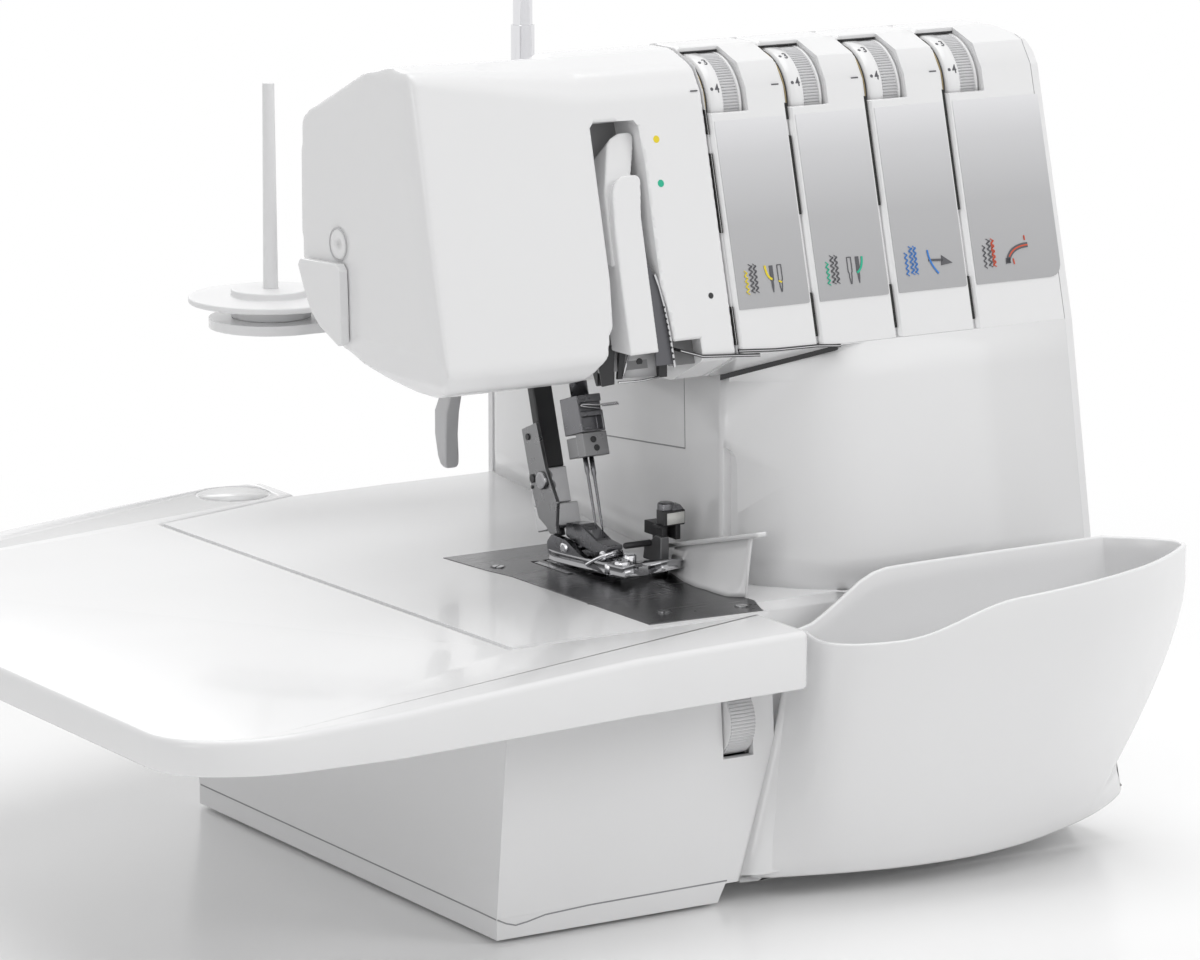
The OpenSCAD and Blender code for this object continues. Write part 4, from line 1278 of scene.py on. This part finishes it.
class OVERLOCK_OT_thread_paths(bpy.types.Operator):
    """Painted shade in the thread slots beside the columns and inside the head slot, the marks on the head and the
    guides under the covers
    """

    bl_idname = "overlock.thread_paths"
    bl_label = "Thread paths"

    def execute(self, context):
        dark = []
        # Near-black strips painted as the shade deep in the thread slots between the columns
        for column, low, high in SLOT_RUNS:
            edge = column_left(column) - (1.5 if column == 0 else 1.8)
            dark.append(sloping_bar(edge - 0.05, edge + 1.1, low, high, 0.1, 1.6))
        added("thread_slot_shade", joined(*dark), "slot_black", smooth=False)
        for name, material, x, z, radius in (
                ("mark_first_thread", "mark_yellow", 103.7, 281, 1.35),
                ("mark_second_thread", "mark_green", 103.1, 265, 1.35),
                ("cover_hole", "black_plastic", 118.4, 222.9, 1.1)):
            added(name, decal(disc(x, z, radius), 0.0, 0.1), material, slot="white_plastic", smooth=False)
        # Grey plates behind the head slot and its notch, painted as the shade inside them
        slot_shade = joined(
            sloping_bar(75.6, 97.0, 196, 287.5, 17, 18), sloping_bar(99.8, 111.0, 198, 207.8, 6, 7))
        added("slot_shade_plates", slot_shade, "slot_grey", smooth=False)
        blade = [
            (93.6, 236.7), (95.8, 232), (97.0, 228), (98.2, 221), (98.6, 213), (98.6, 199.5), (91.5, 199.5),
            (92.8, 210)]
        added("thread_blade", on_slope(blade, -1.6, -2.4), "mark_grey", slot="steel", smooth=False)
        edge = [(95.6, 232.4), (96.9, 227.6), (98.0, 220.6), (98.7, 212.0), (98.9, 204), (99.0, 198.5)]
        rim = on_slope(stroke(edge, 0.8), -0.7, -1.5)
        added("blade_edge", rim, "bright_steel", smooth=False)
        teeth = joined(*[
            on_slope(disc(97.6 + 1.2 * k / 9, 220.4 - 2.1 * k, 0.42, 8), -0.4, -0.8) for k in range(10)])
        added("blade_teeth", teeth, "black_plastic", smooth=False)
        for name, line in (
                ("thread_guide_left", [(101.6, 204.4), (110.9, 201.5), (136.4, 199.7)]),
                ("thread_guide_right", [(127.2, 202.0), (144, 200.9), (162, 200.7), (173, 199.8)])):
            strip = on_slope(stroke(line, 1.1), 0.5, -14)
            added(name, strip, "black_plastic", smooth=False)
            core = on_slope(stroke(line, 0.3), 0.8, 0.4)
            added(name + "_edge", core, "bright_steel", smooth=False)
        return {"FINISHED"}


# ---------------------------------------------------------------- sewing place


class OVERLOCK_OT_needle_holder(bpy.types.Operator):
    """Needle clamp with its wire guide, the two needles and the set screws"""

    bl_idname = "overlock.needle_holder"
    bl_label = "Needle holder"

    def execute(self, context):
        body = new_piece("needle_block", lean_block(-3.3, 7.6, -6, 6.8, 54.6, 69), "dark_steel")
        carved(
            body, "DIFFERENCE", lean_block(-1.9, 6.7, -8, -2.0, 55.4, 60.6),
            lean_block(-2.2, 9, -8, -5.0, 62.6, 66))
        bevelled(body, 0.35)
        settled(body, "needle", "steel", "needle_clamp")
        added(
            "needle_plate_clamp",
            joined(lean_block(-3.3, 7.7, -6.1, -1.0, 45.2, 54.4), lean_block(-3.3, 4.0, -1.1, 6.2, 45.6, 53.4)),
            "speckled_steel", body="needle", bevel=0.3)
        barrel = [(-6.35, 0.7), (-6.35, 1.25), (-5.0, 1.25), (-5.0, 0.7)]
        screws = joined(*[lean_lathe(1, x, z, barrel) for x, z in ((1.3, 51.5), (2.3, 48.2))])
        added("set_screws", screws, "black_plastic", body="needle", slot="steel")
        shanks = joined(
            lean_lathe(2, 0.1, 0, [(46, 0.95), (40, 0.95), (38.4, 0.6), (22.5, 0.5), (20.2, 0.42), (17.2, 0.08)]),
            lean_lathe(2, 2.9, 0, [(46, 0.95), (39, 0.95), (37.4, 0.6), (21, 0.5), (18.7, 0.42), (15.6, 0.08)]),
            lean_lathe(2, 1.6, 2.5, [(46, 0.28), (24, 0.2)], 8))
        added("needle_pair", shanks, "dark_steel", "needles", body="needle")
        eye = (
            (6.6, -5.2, 63.2), (3, -6.6, 63.6), (-1.4, -6.9, 64.4), (-2.6, -6.6, 65.0), (-1.0, -7.0, 65.3),
            (3, -7.2, 64.6), (7.4, -7.0, 64.3))
        strands = []
        for phase in (0, math.pi):
            turns = [(k, k * 0.8 + phase) for k in range(34)]
            strands.append(
                [leaning(7 + k * 0.22, -7 + 0.42 * math.cos(a), 64.2 + 0.42 * math.sin(a)) for k, a in turns])
        guide = joined(
            wire(smooth_line([leaning(*p) for p in eye], 2), 0.3), *[wire(strand, 0.34, 6) for strand in strands])
        added("thread_wire", guide, "bright_steel", body="needle")
        added(
            "needle_bar_post", lean_lathe(2, 2.1, 0, [(68.5, 3.5), (120, 3.5)], 40), "dark_steel", "needle_bar",
            body="needle")
        return {"FINISHED"}


class OVERLOCK_OT_presser(bpy.types.Operator):
    """Presser bar, foot holder and the chrome foot"""

    bl_idname = "overlock.presser"
    bl_label = "Presser foot"

    def execute(self, context):
        added(
            "presser_bar_cover", lean_block(-4.2, 4.6, 23.5, 28.2, 44.6, 96), "black_plastic", "presser_bar",
            body="presser", slot="steel", bevel=0.8)
        plate = prism_x([
            (28.6, 61.2), (17.2, 62.2), (15.6, 44.2), (11.0, 30.0), (14.2, 22.0), (14.9, 18.4), (19.7, 19.0),
            (22.1, 22.4), (26.2, 26.0), (27.8, 36)], -9.2, -7.4)
        added("foot_side_plate", plate, "speckled_steel", "foot_holder", body="presser", bevel=0.35)
        added(
            "foot_block",
            joined(lean_block(-7.5, 4.2, 21.8, 31.5, 30.6, 44.6), lean_block(-7.5, 6.2, 20.4, 31.5, 20.6, 30.4)),
            "bright_steel", body="presser", bevel=0.5)
        bolts = joined(
            lean_lathe(0, 24.4, 57.6, [(-9.7, 1.0), (-9.7, 1.3), (-9.0, 1.3), (-9.0, 0.5)]),
            lean_lathe(0, 25.6, 41.4, [(-9.8, 1.4), (-9.8, 1.7), (-9.0, 1.7), (-9.0, 0.5)]),
            lean_lathe(0, 27.0, 38.2, [(-9.6, 0.4), (-9.6, 0.7), (-9.0, 0.7), (-9.0, 0.3)]),
            lean_lathe(2, -2.0, 24.0, [(20.7, 2.1), (18.2, 2.1), (18.0, 1.8)]))
        added("holder_bolts", bolts, "black_plastic", body="presser", slot="steel")
        knob = joined(
            lean_lathe(0, 18.4, 39.8, [(-9.1, 3.6), (-10.2, 3.6), (-10.6, 3.2), (-10.6, 2.4)]),
            lean_lathe(1, -5.6, 41.6, [(21.9, 2.4), (20.8, 2.4), (19.8, 1.9), (19.2, 0.8)]),
            lean_lathe(1, -5.2, 37.6, [(21.9, 2.6), (20.6, 2.6), (19.4, 2.1), (18.8, 0.9)]))
        added("holder_screw", knob, "dark_chrome", body="presser")
        make_foot()
        return {"FINISHED"}


FOOT_PLAN = [
    (99.2, 121), (99.8, 126), (103, 128.6), (111, 128.6), (113.6, 124), (113.6, 90), (127.6, 82.6), (129.6, 77.4),
    (124.8, 70.6), (117.4, 71.2), (113.4, 78.6), (103.2, 70.2), (100.2, 73),
]


def needle_way():
    """Room for both needles on their way down through the foot."""
    return lean_block(-1.4, 4.3, -1.6, 3.6, -30, 45)


def make_foot():
    """Sole with a raised toe, cheeks, ankle and the little rollers and studs on it."""
    outline = bowed(FOOT_PLAN, [2, 1.5, 2, 2, 2, 4, 2.5, 2, 3, 3, 3, 1.6, 2], 4)

    def toe(y):
        return 0.02 * max(0, 84 - y) ** 2

    rings = []
    for depth, level in ((0.8, 108.9), (0.1, 109.3), (0, 112.0), (0.6, 112.7)):
        rings.append([(p.x, p.y, level + toe(p.y)) for p in inset(outline, depth)])
    sole = new_piece("foot_sole", skin(rings), "dark_chrome")
    carved(sole, "DIFFERENCE", needle_way())
    settled(sole, "presser_foot", "steel", "presser_foot")
    cheek = [(127, 110.8), (127.6, 115.6), (124, 119), (113.5, 118.4), (104, 114.6), (92, 112.6), (86, 110.8)]
    ankle = [
        (118, 124.4), (108, 125.4), (96, 121.0), (88, 120.2), (88, 118.4), (97, 116.4), (110, 117.6), (118, 119)]
    side = new_piece("foot_cheeks", joined(
        along_x(bowed(cheek, 2), 99.6, 102.2), along_x(bowed(cheek, 2), 109.6, 112.4),
        along_x(bowed(ankle, 1.5), 102.4, 109.4)), "dark_steel")
    carved(side, "DIFFERENCE", needle_way())
    bevelled(side, 0.4)
    settled(side, "presser_foot", "steel")
    pivot = joined(
        lathe_x([(98.8, 1.2), (98.8, 2.0), (113.2, 2.0), (113.2, 1.2)], 114.5, 115.4, 32),
        lathe_x([(101.5, 0.8), (101.5, 1.9), (110.5, 1.9), (110.5, 0.8)], 91, 116.2, 32),
        lathe_z([(110.5, 3.2), (115.4, 3.2), (116.2, 2.6), (116.2, 1.4), (115.0, 1.2)], 104.6, 80.4, 40),
        lathe_z([(110.5, 2.6), (116.6, 2.6), (117.2, 2.0), (117.2, 0.9)], 110.4, 84.6, 40),
        lathe_z([(110.5, 1.8), (114.2, 1.8), (114.8, 1.2)], 100.9, 84.0, 32),
        wire(smooth_line([(98.8, 97, 112), (100, 90, 116), (103, 86, 118), (108, 88, 118.4), (112, 92, 115)]), 0.7))
    added("foot_studs", pivot, "chrome", body="presser_foot")
    plates = new_piece("foot_clips", joined(
        along_x([(88, 111), (88, 114.4), (87.2, 114.4), (87.2, 111)], 101.4, 112.4),
        block(101.8, 103.2, 74.4, 79.0, 110.6, 115.0), block(107.2, 112.2, 74.0, 76.0, 110.6, 114.2),
        along_x([(100, 113.8), (92, 118.4), (91, 117.6), (99, 113.0)], 103.6, 108.4)), "bright_steel")
    carved(plates, "DIFFERENCE", needle_way())
    bevelled(plates, 0.25)
    settled(plates, "presser_foot", "steel")


class OVERLOCK_OT_knife_parts(bpy.types.Operator):
    """Post and guide beside the knives, with their dark arms"""

    bl_idname = "overlock.knife_parts"
    bl_label = "Knife parts"

    def execute(self, context):
        added(
            "guide_pin", lathe_x([(106.4, 0.5), (106.4, 1.0), (107, 1.25), (118, 1.25), (118, 0.5)], 82, 121.2, 24),
            "black_plastic", slot="steel")
        added(
            "guide_bracket",
            along_x(bowed([(79, 113), (79, 123.4), (83, 123.6), (91, 117.8), (92, 113)], 0.7), 121.0, 124.8),
            "grey_metal", bevel=0.4)
        added("knife_post_head", skin([
            [(122.0, 78.2, z0), (130.9, 77.0, z0 + 0.4), (131.8, 84.6, z0 + 0.4), (123.0, 85.6, z0)]
            for z0 in (127.4, 133.4)]), "black_plastic", body="upper_knife", slot="steel", bevel=0.6)
        wedge = skin([
            [(126.0, 78.2, 133.4), (130.7, 77.6, 133.8), (131.5, 84.2, 133.8), (126.0, 85.0, 133.4)],
            [(126.4, 79.6, 135.4), (130.0, 79.2, 135.4), (130.6, 83.4, 135.4), (126.6, 84.0, 135.4)]])
        knob = lathe_z([(133.2, 3.4), (135.6, 3.4), (136.2, 2.8), (136.2, 1.0)], 125.4, 82.4, 40)
        added("knife_post_top", joined(knob, wedge), "dark_steel", body="upper_knife", bevel=0.35)
        front = ((123.2, 77.6, 128.2), (130.3, 76.7, 128.6), (130.3, 76.7, 133.0), (123.2, 77.6, 132.6))
        added(
            "knife_post_face", skin([[(x, y + depth, z) for x, y, z in front] for depth in (0.0, 0.6)]),
            "lamp_window", body="upper_knife")
        added("knife_post_stem", joined(
            block(122.0, 124.2, 79.6, 84, 121.0, 127.6), block(127.6, 129.8, 78.6, 84, 121.8, 127.6),
            block(120.6, 124.4, 79.4, 84.6, 126.6, 127.8), block(127.9, 129.7, 87, 96, 72, 124),
            block(124.2, 129.7, 84, 96, 122, 127)), "black_plastic", "upper_knife", body="upper_knife",
            slot="steel", bevel=0.3)
        make_guard()
        rounded_node("needle_plate", "plate_steel", 0.3)
        screws = screw_tree()
        parts = []
        for number, (x, y, turn) in enumerate(PLATE_SCREWS, start=1):
            parts.append(screws.grown(
                f"plate_screw_{number}", "bright_steel", Radius=2.2 * MM, Height=1.9 * MM, Slot=0.6 * MM, Turn=turn,
                Place=at(x, y, 107.75)))
        for part, nodes in zip(parts, (["plate_screws"], [], [])):
            settled(part, "machine", "steel", *nodes)
        dots = joined(
            *[lathe_z([(PRINT[0], 0.5), (108.26, 0.5), (108.26, 0.2)], x, y, 16) for x, y in (
                (96.6, 61.8), (99.8, 22.1), (123.4, 20.3), (124.9, 19.4), (120.8, 14.5), (72.6, 53.3))],
            block(111.5, 111.9, 53, 72, *PRINT), block(114.5, 114.9, 57, 70, *PRINT),
            block(83.6, 86.0, 27.0, 27.5, *PRINT))
        added("plate_marks", dots, "black_plastic", slot="steel", smooth=False)
        rims = joined(*[ring(2, *PRINT, x, y, 3.0, 2.5, 48) for x, y, _ in PLATE_SCREWS])
        added("screw_rims", rims, "black_plastic", slot="steel", smooth=False)
        return {"FINISHED"}


GUARD_FOOT = [
    (31.6, 128.2), (33.6, 125.4), (36, 122.8), (44, 122.2), (51, 122.4), (56, 121.8), (66, 123), (73, 125),
    (84, 128)]


def make_guard():
    """White guard that leads the trimmings off the plate: a sloping rail over a bowed sheet."""

    def rail_z(y):
        return 117.4 + (88.7 - y) * 0.2473

    sheet = []
    for y, foot in GUARD_FOOT:
        top = rail_z(y) - 1.0
        line = curve_line([(130.6, top), (128.2, 112.5), (foot, 108.3)], 6)
        back = [(p.x + 1.2, p.y) for p in reversed(line)]
        sheet.append([(x, y, z) for x, z in [(p.x, p.y) for p in line] + back])
    rail = []
    for y in (24.2, 24.6, 26, 40, 56, 72, 86):
        half = 1.4 if y < 24.5 else 2.3
        rise = 0.5 if y < 24.5 else 0.95
        rail.append([(131 + p.x, y, rail_z(y) + p.y) for p in bowed(
            [(-half, -rise), (half, -rise), (half, rise), (-half, rise)], 0.8, 3)])
    added("trimmings_guard", joined(skin(sheet), skin(rail)), "white_gloss", "chip_guard")


# ---------------------------------------------------------------- tower details


def tower_left_x(y):
    """X of the tower's left wall at a depth."""
    return 134.6 + (y - 58) * 36.4 / 230.8


def wall_line(start, end, width):
    """Thin groove line on the tower's left wall between two (y, z) points."""
    outline = stroke([start, end], width)
    return skin([[(tower_left_x(y) - out, y, z) for y, z in outline] for out in (0.06, -0.1)])


class OVERLOCK_OT_tower_details(bpy.types.Operator):
    """Panel joints of the tower, the shadow gap under the head and the parts under the thread slot"""

    bl_idname = "overlock.tower_details"
    bl_label = "Tower details"

    def execute(self, context):
        joints = joined(
            wall_line((92.6, 188), (91.2, 154.2), GROOVE_W), wall_line((91.0, 154.2), (176, 144.4), GROOVE_W))
        added("panel_joints", joints, "joint_grey", smooth=False)
        gap = []
        for k in range(13):
            t = k / 12
            y = 58.6 - 23.4 * t
            x = 134.5 + 37.6 * t
            z = PANEL_FOOT[1] - (y - PANEL_FOOT[0]) * 0.4955
            gap.append([
                (x - 0.6, y - 0.75, z - 1.6), (x - 0.6, y - 0.75, z + 0.4), (x + 1.5, y + 1.5, z + 0.4),
                (x + 1.5, y + 1.5, z - 1.6)])
        added("head_shadow_gap", skin(gap), "black_plastic", smooth=False)
        added(
            "take_up_web", along_y([(87.6, 204), (100.4, 204), (101.5, 192.4), (85.4, 193.0)], 51.6, 52.6),
            "lever_grey")
        rail = joined(
            block(101.8, 105.4, 50.5, 54, 191.9, 206),
            along_y([(84.6, 206), (87.4, 206), (85.6, 193), (83.4, 193)], 50.4, 51.6),
            lathe_y([(51.2, 0.4), (51.2, 1.3), (52, 1.3), (52, 0.4)], 93.6, 198.6),
            along_x([(53.5, 190.6), (54.5, 190.6), (62, 205), (53.5, 206)], 76.5, 84))
        added("take_up_rail", rail, "black_plastic", smooth=False)
        # Black plate painted as the shade on the casing at the lower left of the head slot
        added(
            "take_up_shade_plate", along_y([(74.0, 206), (82.4, 206), (81.6, 191.2), (76.9, 190.8)], 50.6, 51.4),
            "black_plastic", smooth=False)
        edge = joined(
            wire([(83.6, 50.2, 191.8), (93, 50.2, 191.6), (101.6, 50.2, 192.2)], 0.45),
            wire([(88.0, 50.2, 202), (85.8, 50.2, 194)], 0.4),
            wire([(107.2, 49.0, 206), (108.0, 49, 198.5), (110.4, 49, 197.6), (111.0, 49, 201)], 0.5))
        added("take_up_wires", edge, "bright_steel")
        return {"FINISHED"}


# ---------------------------------------------------------------- front, stand and right side


class OVERLOCK_OT_front_details(bpy.types.Operator):
    """Cutting-width dial with its scale, and the cutting mark on the bed"""

    bl_idname = "overlock.front_details"
    bl_label = "Front details"

    def execute(self, context):
        x0, x1, y, z, r = 101.6, 113.0, 14, 68, 14
        profile = [
            (x0, 2.6), (x0, r - 1.2), (x0 + 0.6, r - 0.6), (x1 - 0.6, r - 0.6), (x1, r - 1.2), (x1, 2.6)]
        added(
            "cutting_dial_drum", lathe_x(profile, y, z), "white_gloss", "cutting_width_dial",
            body="cutting_width_dial")
        grip = ring_tree().grown(
            "cutting_dial_grip", "dial_grey", Count=64, Radius=(r - 0.7) * MM, Length=(x1 - x0 - 0.8) * MM,
            Rib=0.52 * MM, Place=at((x0 + x1) / 2, y, z))
        settled(grip, "cutting_width_dial", "grey_plastic")
        added(
            "dial_scale_plate",
            on_front([(113.8, 54.6), (117.2, 55.4), (121.8, 76.4), (121.8, 80.4), (113.8, 81)], 0.5, -0.6),
            "white_satin", bevel=0.4)
        signs = joined(
            on_front(stroke([(118.4, 74.6), (120.8, 74.6)], 0.4), 0.65, 0.2),
            on_front(stroke([(119.6, 73.4), (119.6, 75.8)], 0.4), 0.65, 0.2),
            on_front(stroke([(114.6, 62.6), (116.2, 62.6)], 0.4), 0.65, 0.2))
        added("dial_signs", signs, "mark_grey", smooth=False)
        rim = joined(
            on_front(stroke([(121.9, 81), (121.9, 76), (117.0, 54)], 0.45), 0.25, -0.3),
            on_front(stroke([(94.4, 56), (95.4, 78)], 0.3), 0.1, -0.3))
        added("dial_window_joint", rim, "joint_grey", smooth=False)
        lines = [
            [(74.4, 71.6), (76.0, 63.6), (82.2, 64.4), (81.4, 68.4)], [(74.4, 71.6), (78.4, 72.0)],
            [(77.2, 67.2), (82.6, 72.4)], [(79.2, 72.2), (80.4, 67.8)]]
        handles = [disc(x, z, 0.9, 12) for x, z in ((79.0, 73.4), (83.4, 73.0))]
        shears = joined(
            *[on_front(stroke(line, 0.42), 0.1, -0.2) for line in lines],
            *[on_front(stroke(handle + handle[:1], 0.35), 0.1, -0.2) for handle in handles])
        added("cutting_mark", shears, "mark_grey", smooth=False)
        return {"FINISHED"}


def on_front(outline, front, back):
    """Solid with an (x, z) outline between two distances in front of a plane that runs up to the panel's foot."""
    return skin([[(x, PANEL_FOOT[0] * z / PANEL_FOOT[1] - out, z) for x, z in outline] for out in (front, back)])


# Axis (y, z) of the plug in the head's left side
PLUG = (114, 242.3)


class OVERLOCK_OT_stand(bpy.types.Operator):
    """Spool stand with its discs and pins, and the plug of the head"""

    bl_idname = "overlock.stand"
    bl_label = "Spool stand"

    def execute(self, context):
        rounded_node("spool_stand", "white_gloss", look().edge_round / MM, segments=4)
        rounded_node("spool_discs", "white_satin", 0.7)
        rounded_node("spool_pins", "white_satin", 0.5)
        plug = lathe_x([(1.2, 0.5), (0.3, 0.5), (0.3, 5.3), (0.6, 5.8), (3.4, 5.8), (3.4, 0.5)], *PLUG)
        added("head_plug_cap", plug, "white_gloss", "head_plug")
        groove = ring(0, 0.2, 0.5, *PLUG, 6.4, 5.95)
        added("plug_groove", groove, "pale_joint", smooth=False)
        return {"FINISHED"}


# Axis (y, z) of the handwheel, and depth of the axes of the dials before it
WHEEL = (140, 78)
SIDE_DIAL_Y = 74


class OVERLOCK_OT_right_side(bpy.types.Operator):
    """Handwheel, stitch dials, switch and inlet"""

    bl_idname = "overlock.right_side"
    bl_label = "Right side"

    def execute(self, context):
        profile = [
            (297, 5.2), (297, 11.5), (296.5, 12.2), (283.4, 12.2), (283.4, 31.8), (283.2, 32.4), (283.2, 35.2),
            (284, 35.9), (302.6, 35.9), (304, 34.6), (304.2, 32), (303.4, 22), (304, 20.4), (308.2, 20),
            (308.9, 19), (309, 5.2)]
        added("handwheel_rim", lathe_x(profile, *WHEEL, 128), "white_gloss", "handwheel", body="handwheel")
        ribs = ring_tree()
        grip = ribs.grown(
            "handwheel_grip", "white_satin", Count=64, Radius=35.6 * MM, Length=15 * MM, Rib=0.75 * MM,
            Place=at(293.4, *WHEEL))
        settled(grip, "handwheel", "white_plastic")
        profile = [
            (282.4, 4), (282.4, 14.6), (283, 15), (286.2, 15), (286.6, 14.2), (291.0, 14.0), (292, 13), (292, 4)]
        for name, z in (("stitch_length_dial", 118), ("differential_dial", 66)):
            added(name + "_drum", lathe_x(profile, SIDE_DIAL_Y, z), "white_gloss", name, body=name)
            grip = ribs.grown(
                name + "_grip", "dial_grey", Count=60, Radius=14.0 * MM, Length=4.2 * MM, Rib=0.5 * MM,
                Place=at(288.9, SIDE_DIAL_Y, z))
            settled(grip, name, "grey_plastic")
            marks_round = joined(*[
                on_drum(numeral(str(k), 2.6), 284.7, SIDE_DIAL_Y, z, 15.0, 100 - 40 * k) for k in range(6)])
            added(name + "_numbers", marks_round, "mark_grey", body=name, slot="grey_plastic", smooth=False)
        rounded_node("power_switch", "black_plastic", 0.5)
        rounded_node("power_inlet", "black_plastic", 0.6)
        pins = joined(*[block(268, 279, y - 0.8, y + 0.8, 40, 44) for y in (232, 240)])
        added("inlet_pins", pins, "brass", smooth=False)
        return {"FINISHED"}


# Place and target in metres, width in metres, power in watts
LIGHTS = {
    "overhead": ((0.1, 0.0, 2.6), (0.0, 0.0, 0.0), 2.6, 34),
    "right_front": ((1.9, -1.9, 1.5), (0.0, 0.0, 0.15), 1.4, 20),
    "left_front": ((-2.4, -1.4, 0.9), (0.0, 0.0, 0.15), 1.2, 7),
    "behind": ((0.4, 2.4, 1.6), (0.0, 0.0, 0.2), 1.6, 12),
}
EYE = (-988.9, -1653.3, 564.4)
VIEW_AZIMUTH = math.radians(-32)
VIEW_ELEVATION = math.radians(11.5)
# Distances in metres between which the floor turns into the background
FLOOR_FADE = (0.42, 0.75)


class OVERLOCK_OT_stage(bpy.types.Operator):
    """Floor, lights, background and camera"""

    bl_idname = "overlock.stage"
    bl_label = "Stage"

    def execute(self, context):
        scene = context.scene
        scene.view_settings.view_transform = "Standard"
        make_floor()
        make_world(scene)
        for name, setting in LIGHTS.items():
            soft_light(name, *setting)
        bpy.data.objects["right_front"].visible_glossy = False
        camera = bpy.data.cameras.new("camera")
        camera.lens = 165
        camera.sensor_width = 36
        camera.clip_end = 30
        eye = bpy.data.objects.new("camera", camera)
        scene.collection.objects.link(eye)
        toward = Vector((
            -math.sin(VIEW_AZIMUTH) * math.cos(VIEW_ELEVATION), math.cos(VIEW_AZIMUTH) * math.cos(VIEW_ELEVATION),
            -math.sin(VIEW_ELEVATION)))
        eye.location = at(*EYE)
        eye.rotation_euler = toward.to_track_quat("-Z", "Y").to_euler()
        scene.camera = eye
        return {"FINISHED"}


def make_floor():
    """White glossy floor that fades into the background."""
    shader = Shader("floor")
    MATERIALS["floor"] = shader.surface(Base_Color=(0.96, 0.96, 0.96, 1), Roughness=0.22)
    shader.fade_to_white(*FLOOR_FADE)
    made = bmesh.new()
    bmesh.ops.create_grid(made, x_segments=1, y_segments=1, size=6)
    new_piece("floor", made, "floor", smooth=False)


def make_world(scene):
    """White background for the lens and the gloss, and a dimmer one for the light it gives."""
    world = bpy.data.worlds.new("studio")
    world.use_nodes = True
    scene.world = world
    tree = world.node_tree
    background = tree.nodes["Background"]
    background.inputs["Color"].default_value = (1, 1, 1, 1)
    path = tree.nodes.new("ShaderNodeLightPath")
    seen = path.outputs["Is Camera Ray"]
    for kind in ("Is Transmission Ray", "Is Glossy Ray"):
        either = tree.nodes.new("ShaderNodeMath")
        either.operation = "MAXIMUM"
        tree.links.new(seen, either.inputs[0])
        tree.links.new(path.outputs[kind], either.inputs[1])
        seen = either.outputs[0]
    strength = tree.nodes.new("ShaderNodeMapRange")
    tree.links.new(seen, strength.inputs["Value"])
    strength.inputs["To Min"].default_value = 0.42
    strength.inputs["To Max"].default_value = 1.0
    tree.links.new(strength.outputs[0], background.inputs["Strength"])


def soft_light(name, place, target, size, power):
    """Round area light that looks at a target."""
    lamp = bpy.data.lights.new(name, "AREA")
    lamp.shape = "DISK"
    lamp.size = size
    lamp.energy = power
    source = bpy.data.objects.new(name, lamp)
    bpy.context.scene.collection.objects.link(source)
    source.location = place
    source.rotation_euler = (Vector(target) - Vector(place)).to_track_quat("-Z", "Y").to_euler()


class OVERLOCK_OT_finish_solids(bpy.types.Operator):
    """Materials on every carried-over solid"""

    bl_idname = "overlock.finish_solids"
    bl_label = "Finish solids"

    def execute(self, context):
        for name, nodes in NODE_LOOKS.items():
            for node in nodes.split():
                mesh = frame["nodes"][node].data
                mesh.materials.clear()
                mesh.materials.append(MATERIALS[name])
        return {"FINISHED"}


CLASSES = [
    OverlockSettings, OVERLOCK_OT_finish_solids, OVERLOCK_OT_head, OVERLOCK_OT_columns, OVERLOCK_OT_lower_casing,
    OVERLOCK_OT_table, OVERLOCK_OT_bin, OVERLOCK_OT_labels, OVERLOCK_OT_dials, OVERLOCK_OT_thread_paths,
    OVERLOCK_OT_needle_holder, OVERLOCK_OT_presser, OVERLOCK_OT_knife_parts, OVERLOCK_OT_tower_details,
    OVERLOCK_OT_front_details, OVERLOCK_OT_stand, OVERLOCK_OT_right_side, OVERLOCK_OT_stage,
]


class OVERLOCK_PT_panel(bpy.types.Panel):
    """Lists the steps that build the machine"""

    bl_idname = "OVERLOCK_PT_panel"
    bl_label = "Overlock machine"
    bl_space_type = "VIEW_3D"
    bl_region_type = "UI"
    bl_category = "Overlock"

    def draw(self, context):
        for step in STEPS:
            self.layout.operator("overlock." + step)
        for key in OverlockSettings.__annotations__:
            self.layout.prop(look(), key)


STEPS = [
    "finish_solids", "head", "columns", "lower_casing", "table", "bin", "labels", "dials", "thread_paths",
    "needle_holder", "presser", "knife_parts", "tower_details", "front_details", "stand", "right_side", "stage",
]


def register():
    for each in CLASSES + [OVERLOCK_PT_panel]:
        bpy.utils.register_class(each)
    bpy.types.Scene.overlock = bpy.props.PointerProperty(type=OverlockSettings)


def unregister():
    del bpy.types.Scene.overlock
    for each in reversed(CLASSES + [OVERLOCK_PT_panel]):
        bpy.utils.unregister_class(each)


def main():
    register()
    make_materials(look())
    for step in STEPS:
        getattr(bpy.ops.overlock, step)()


if __name__ == "__main__":
    main()
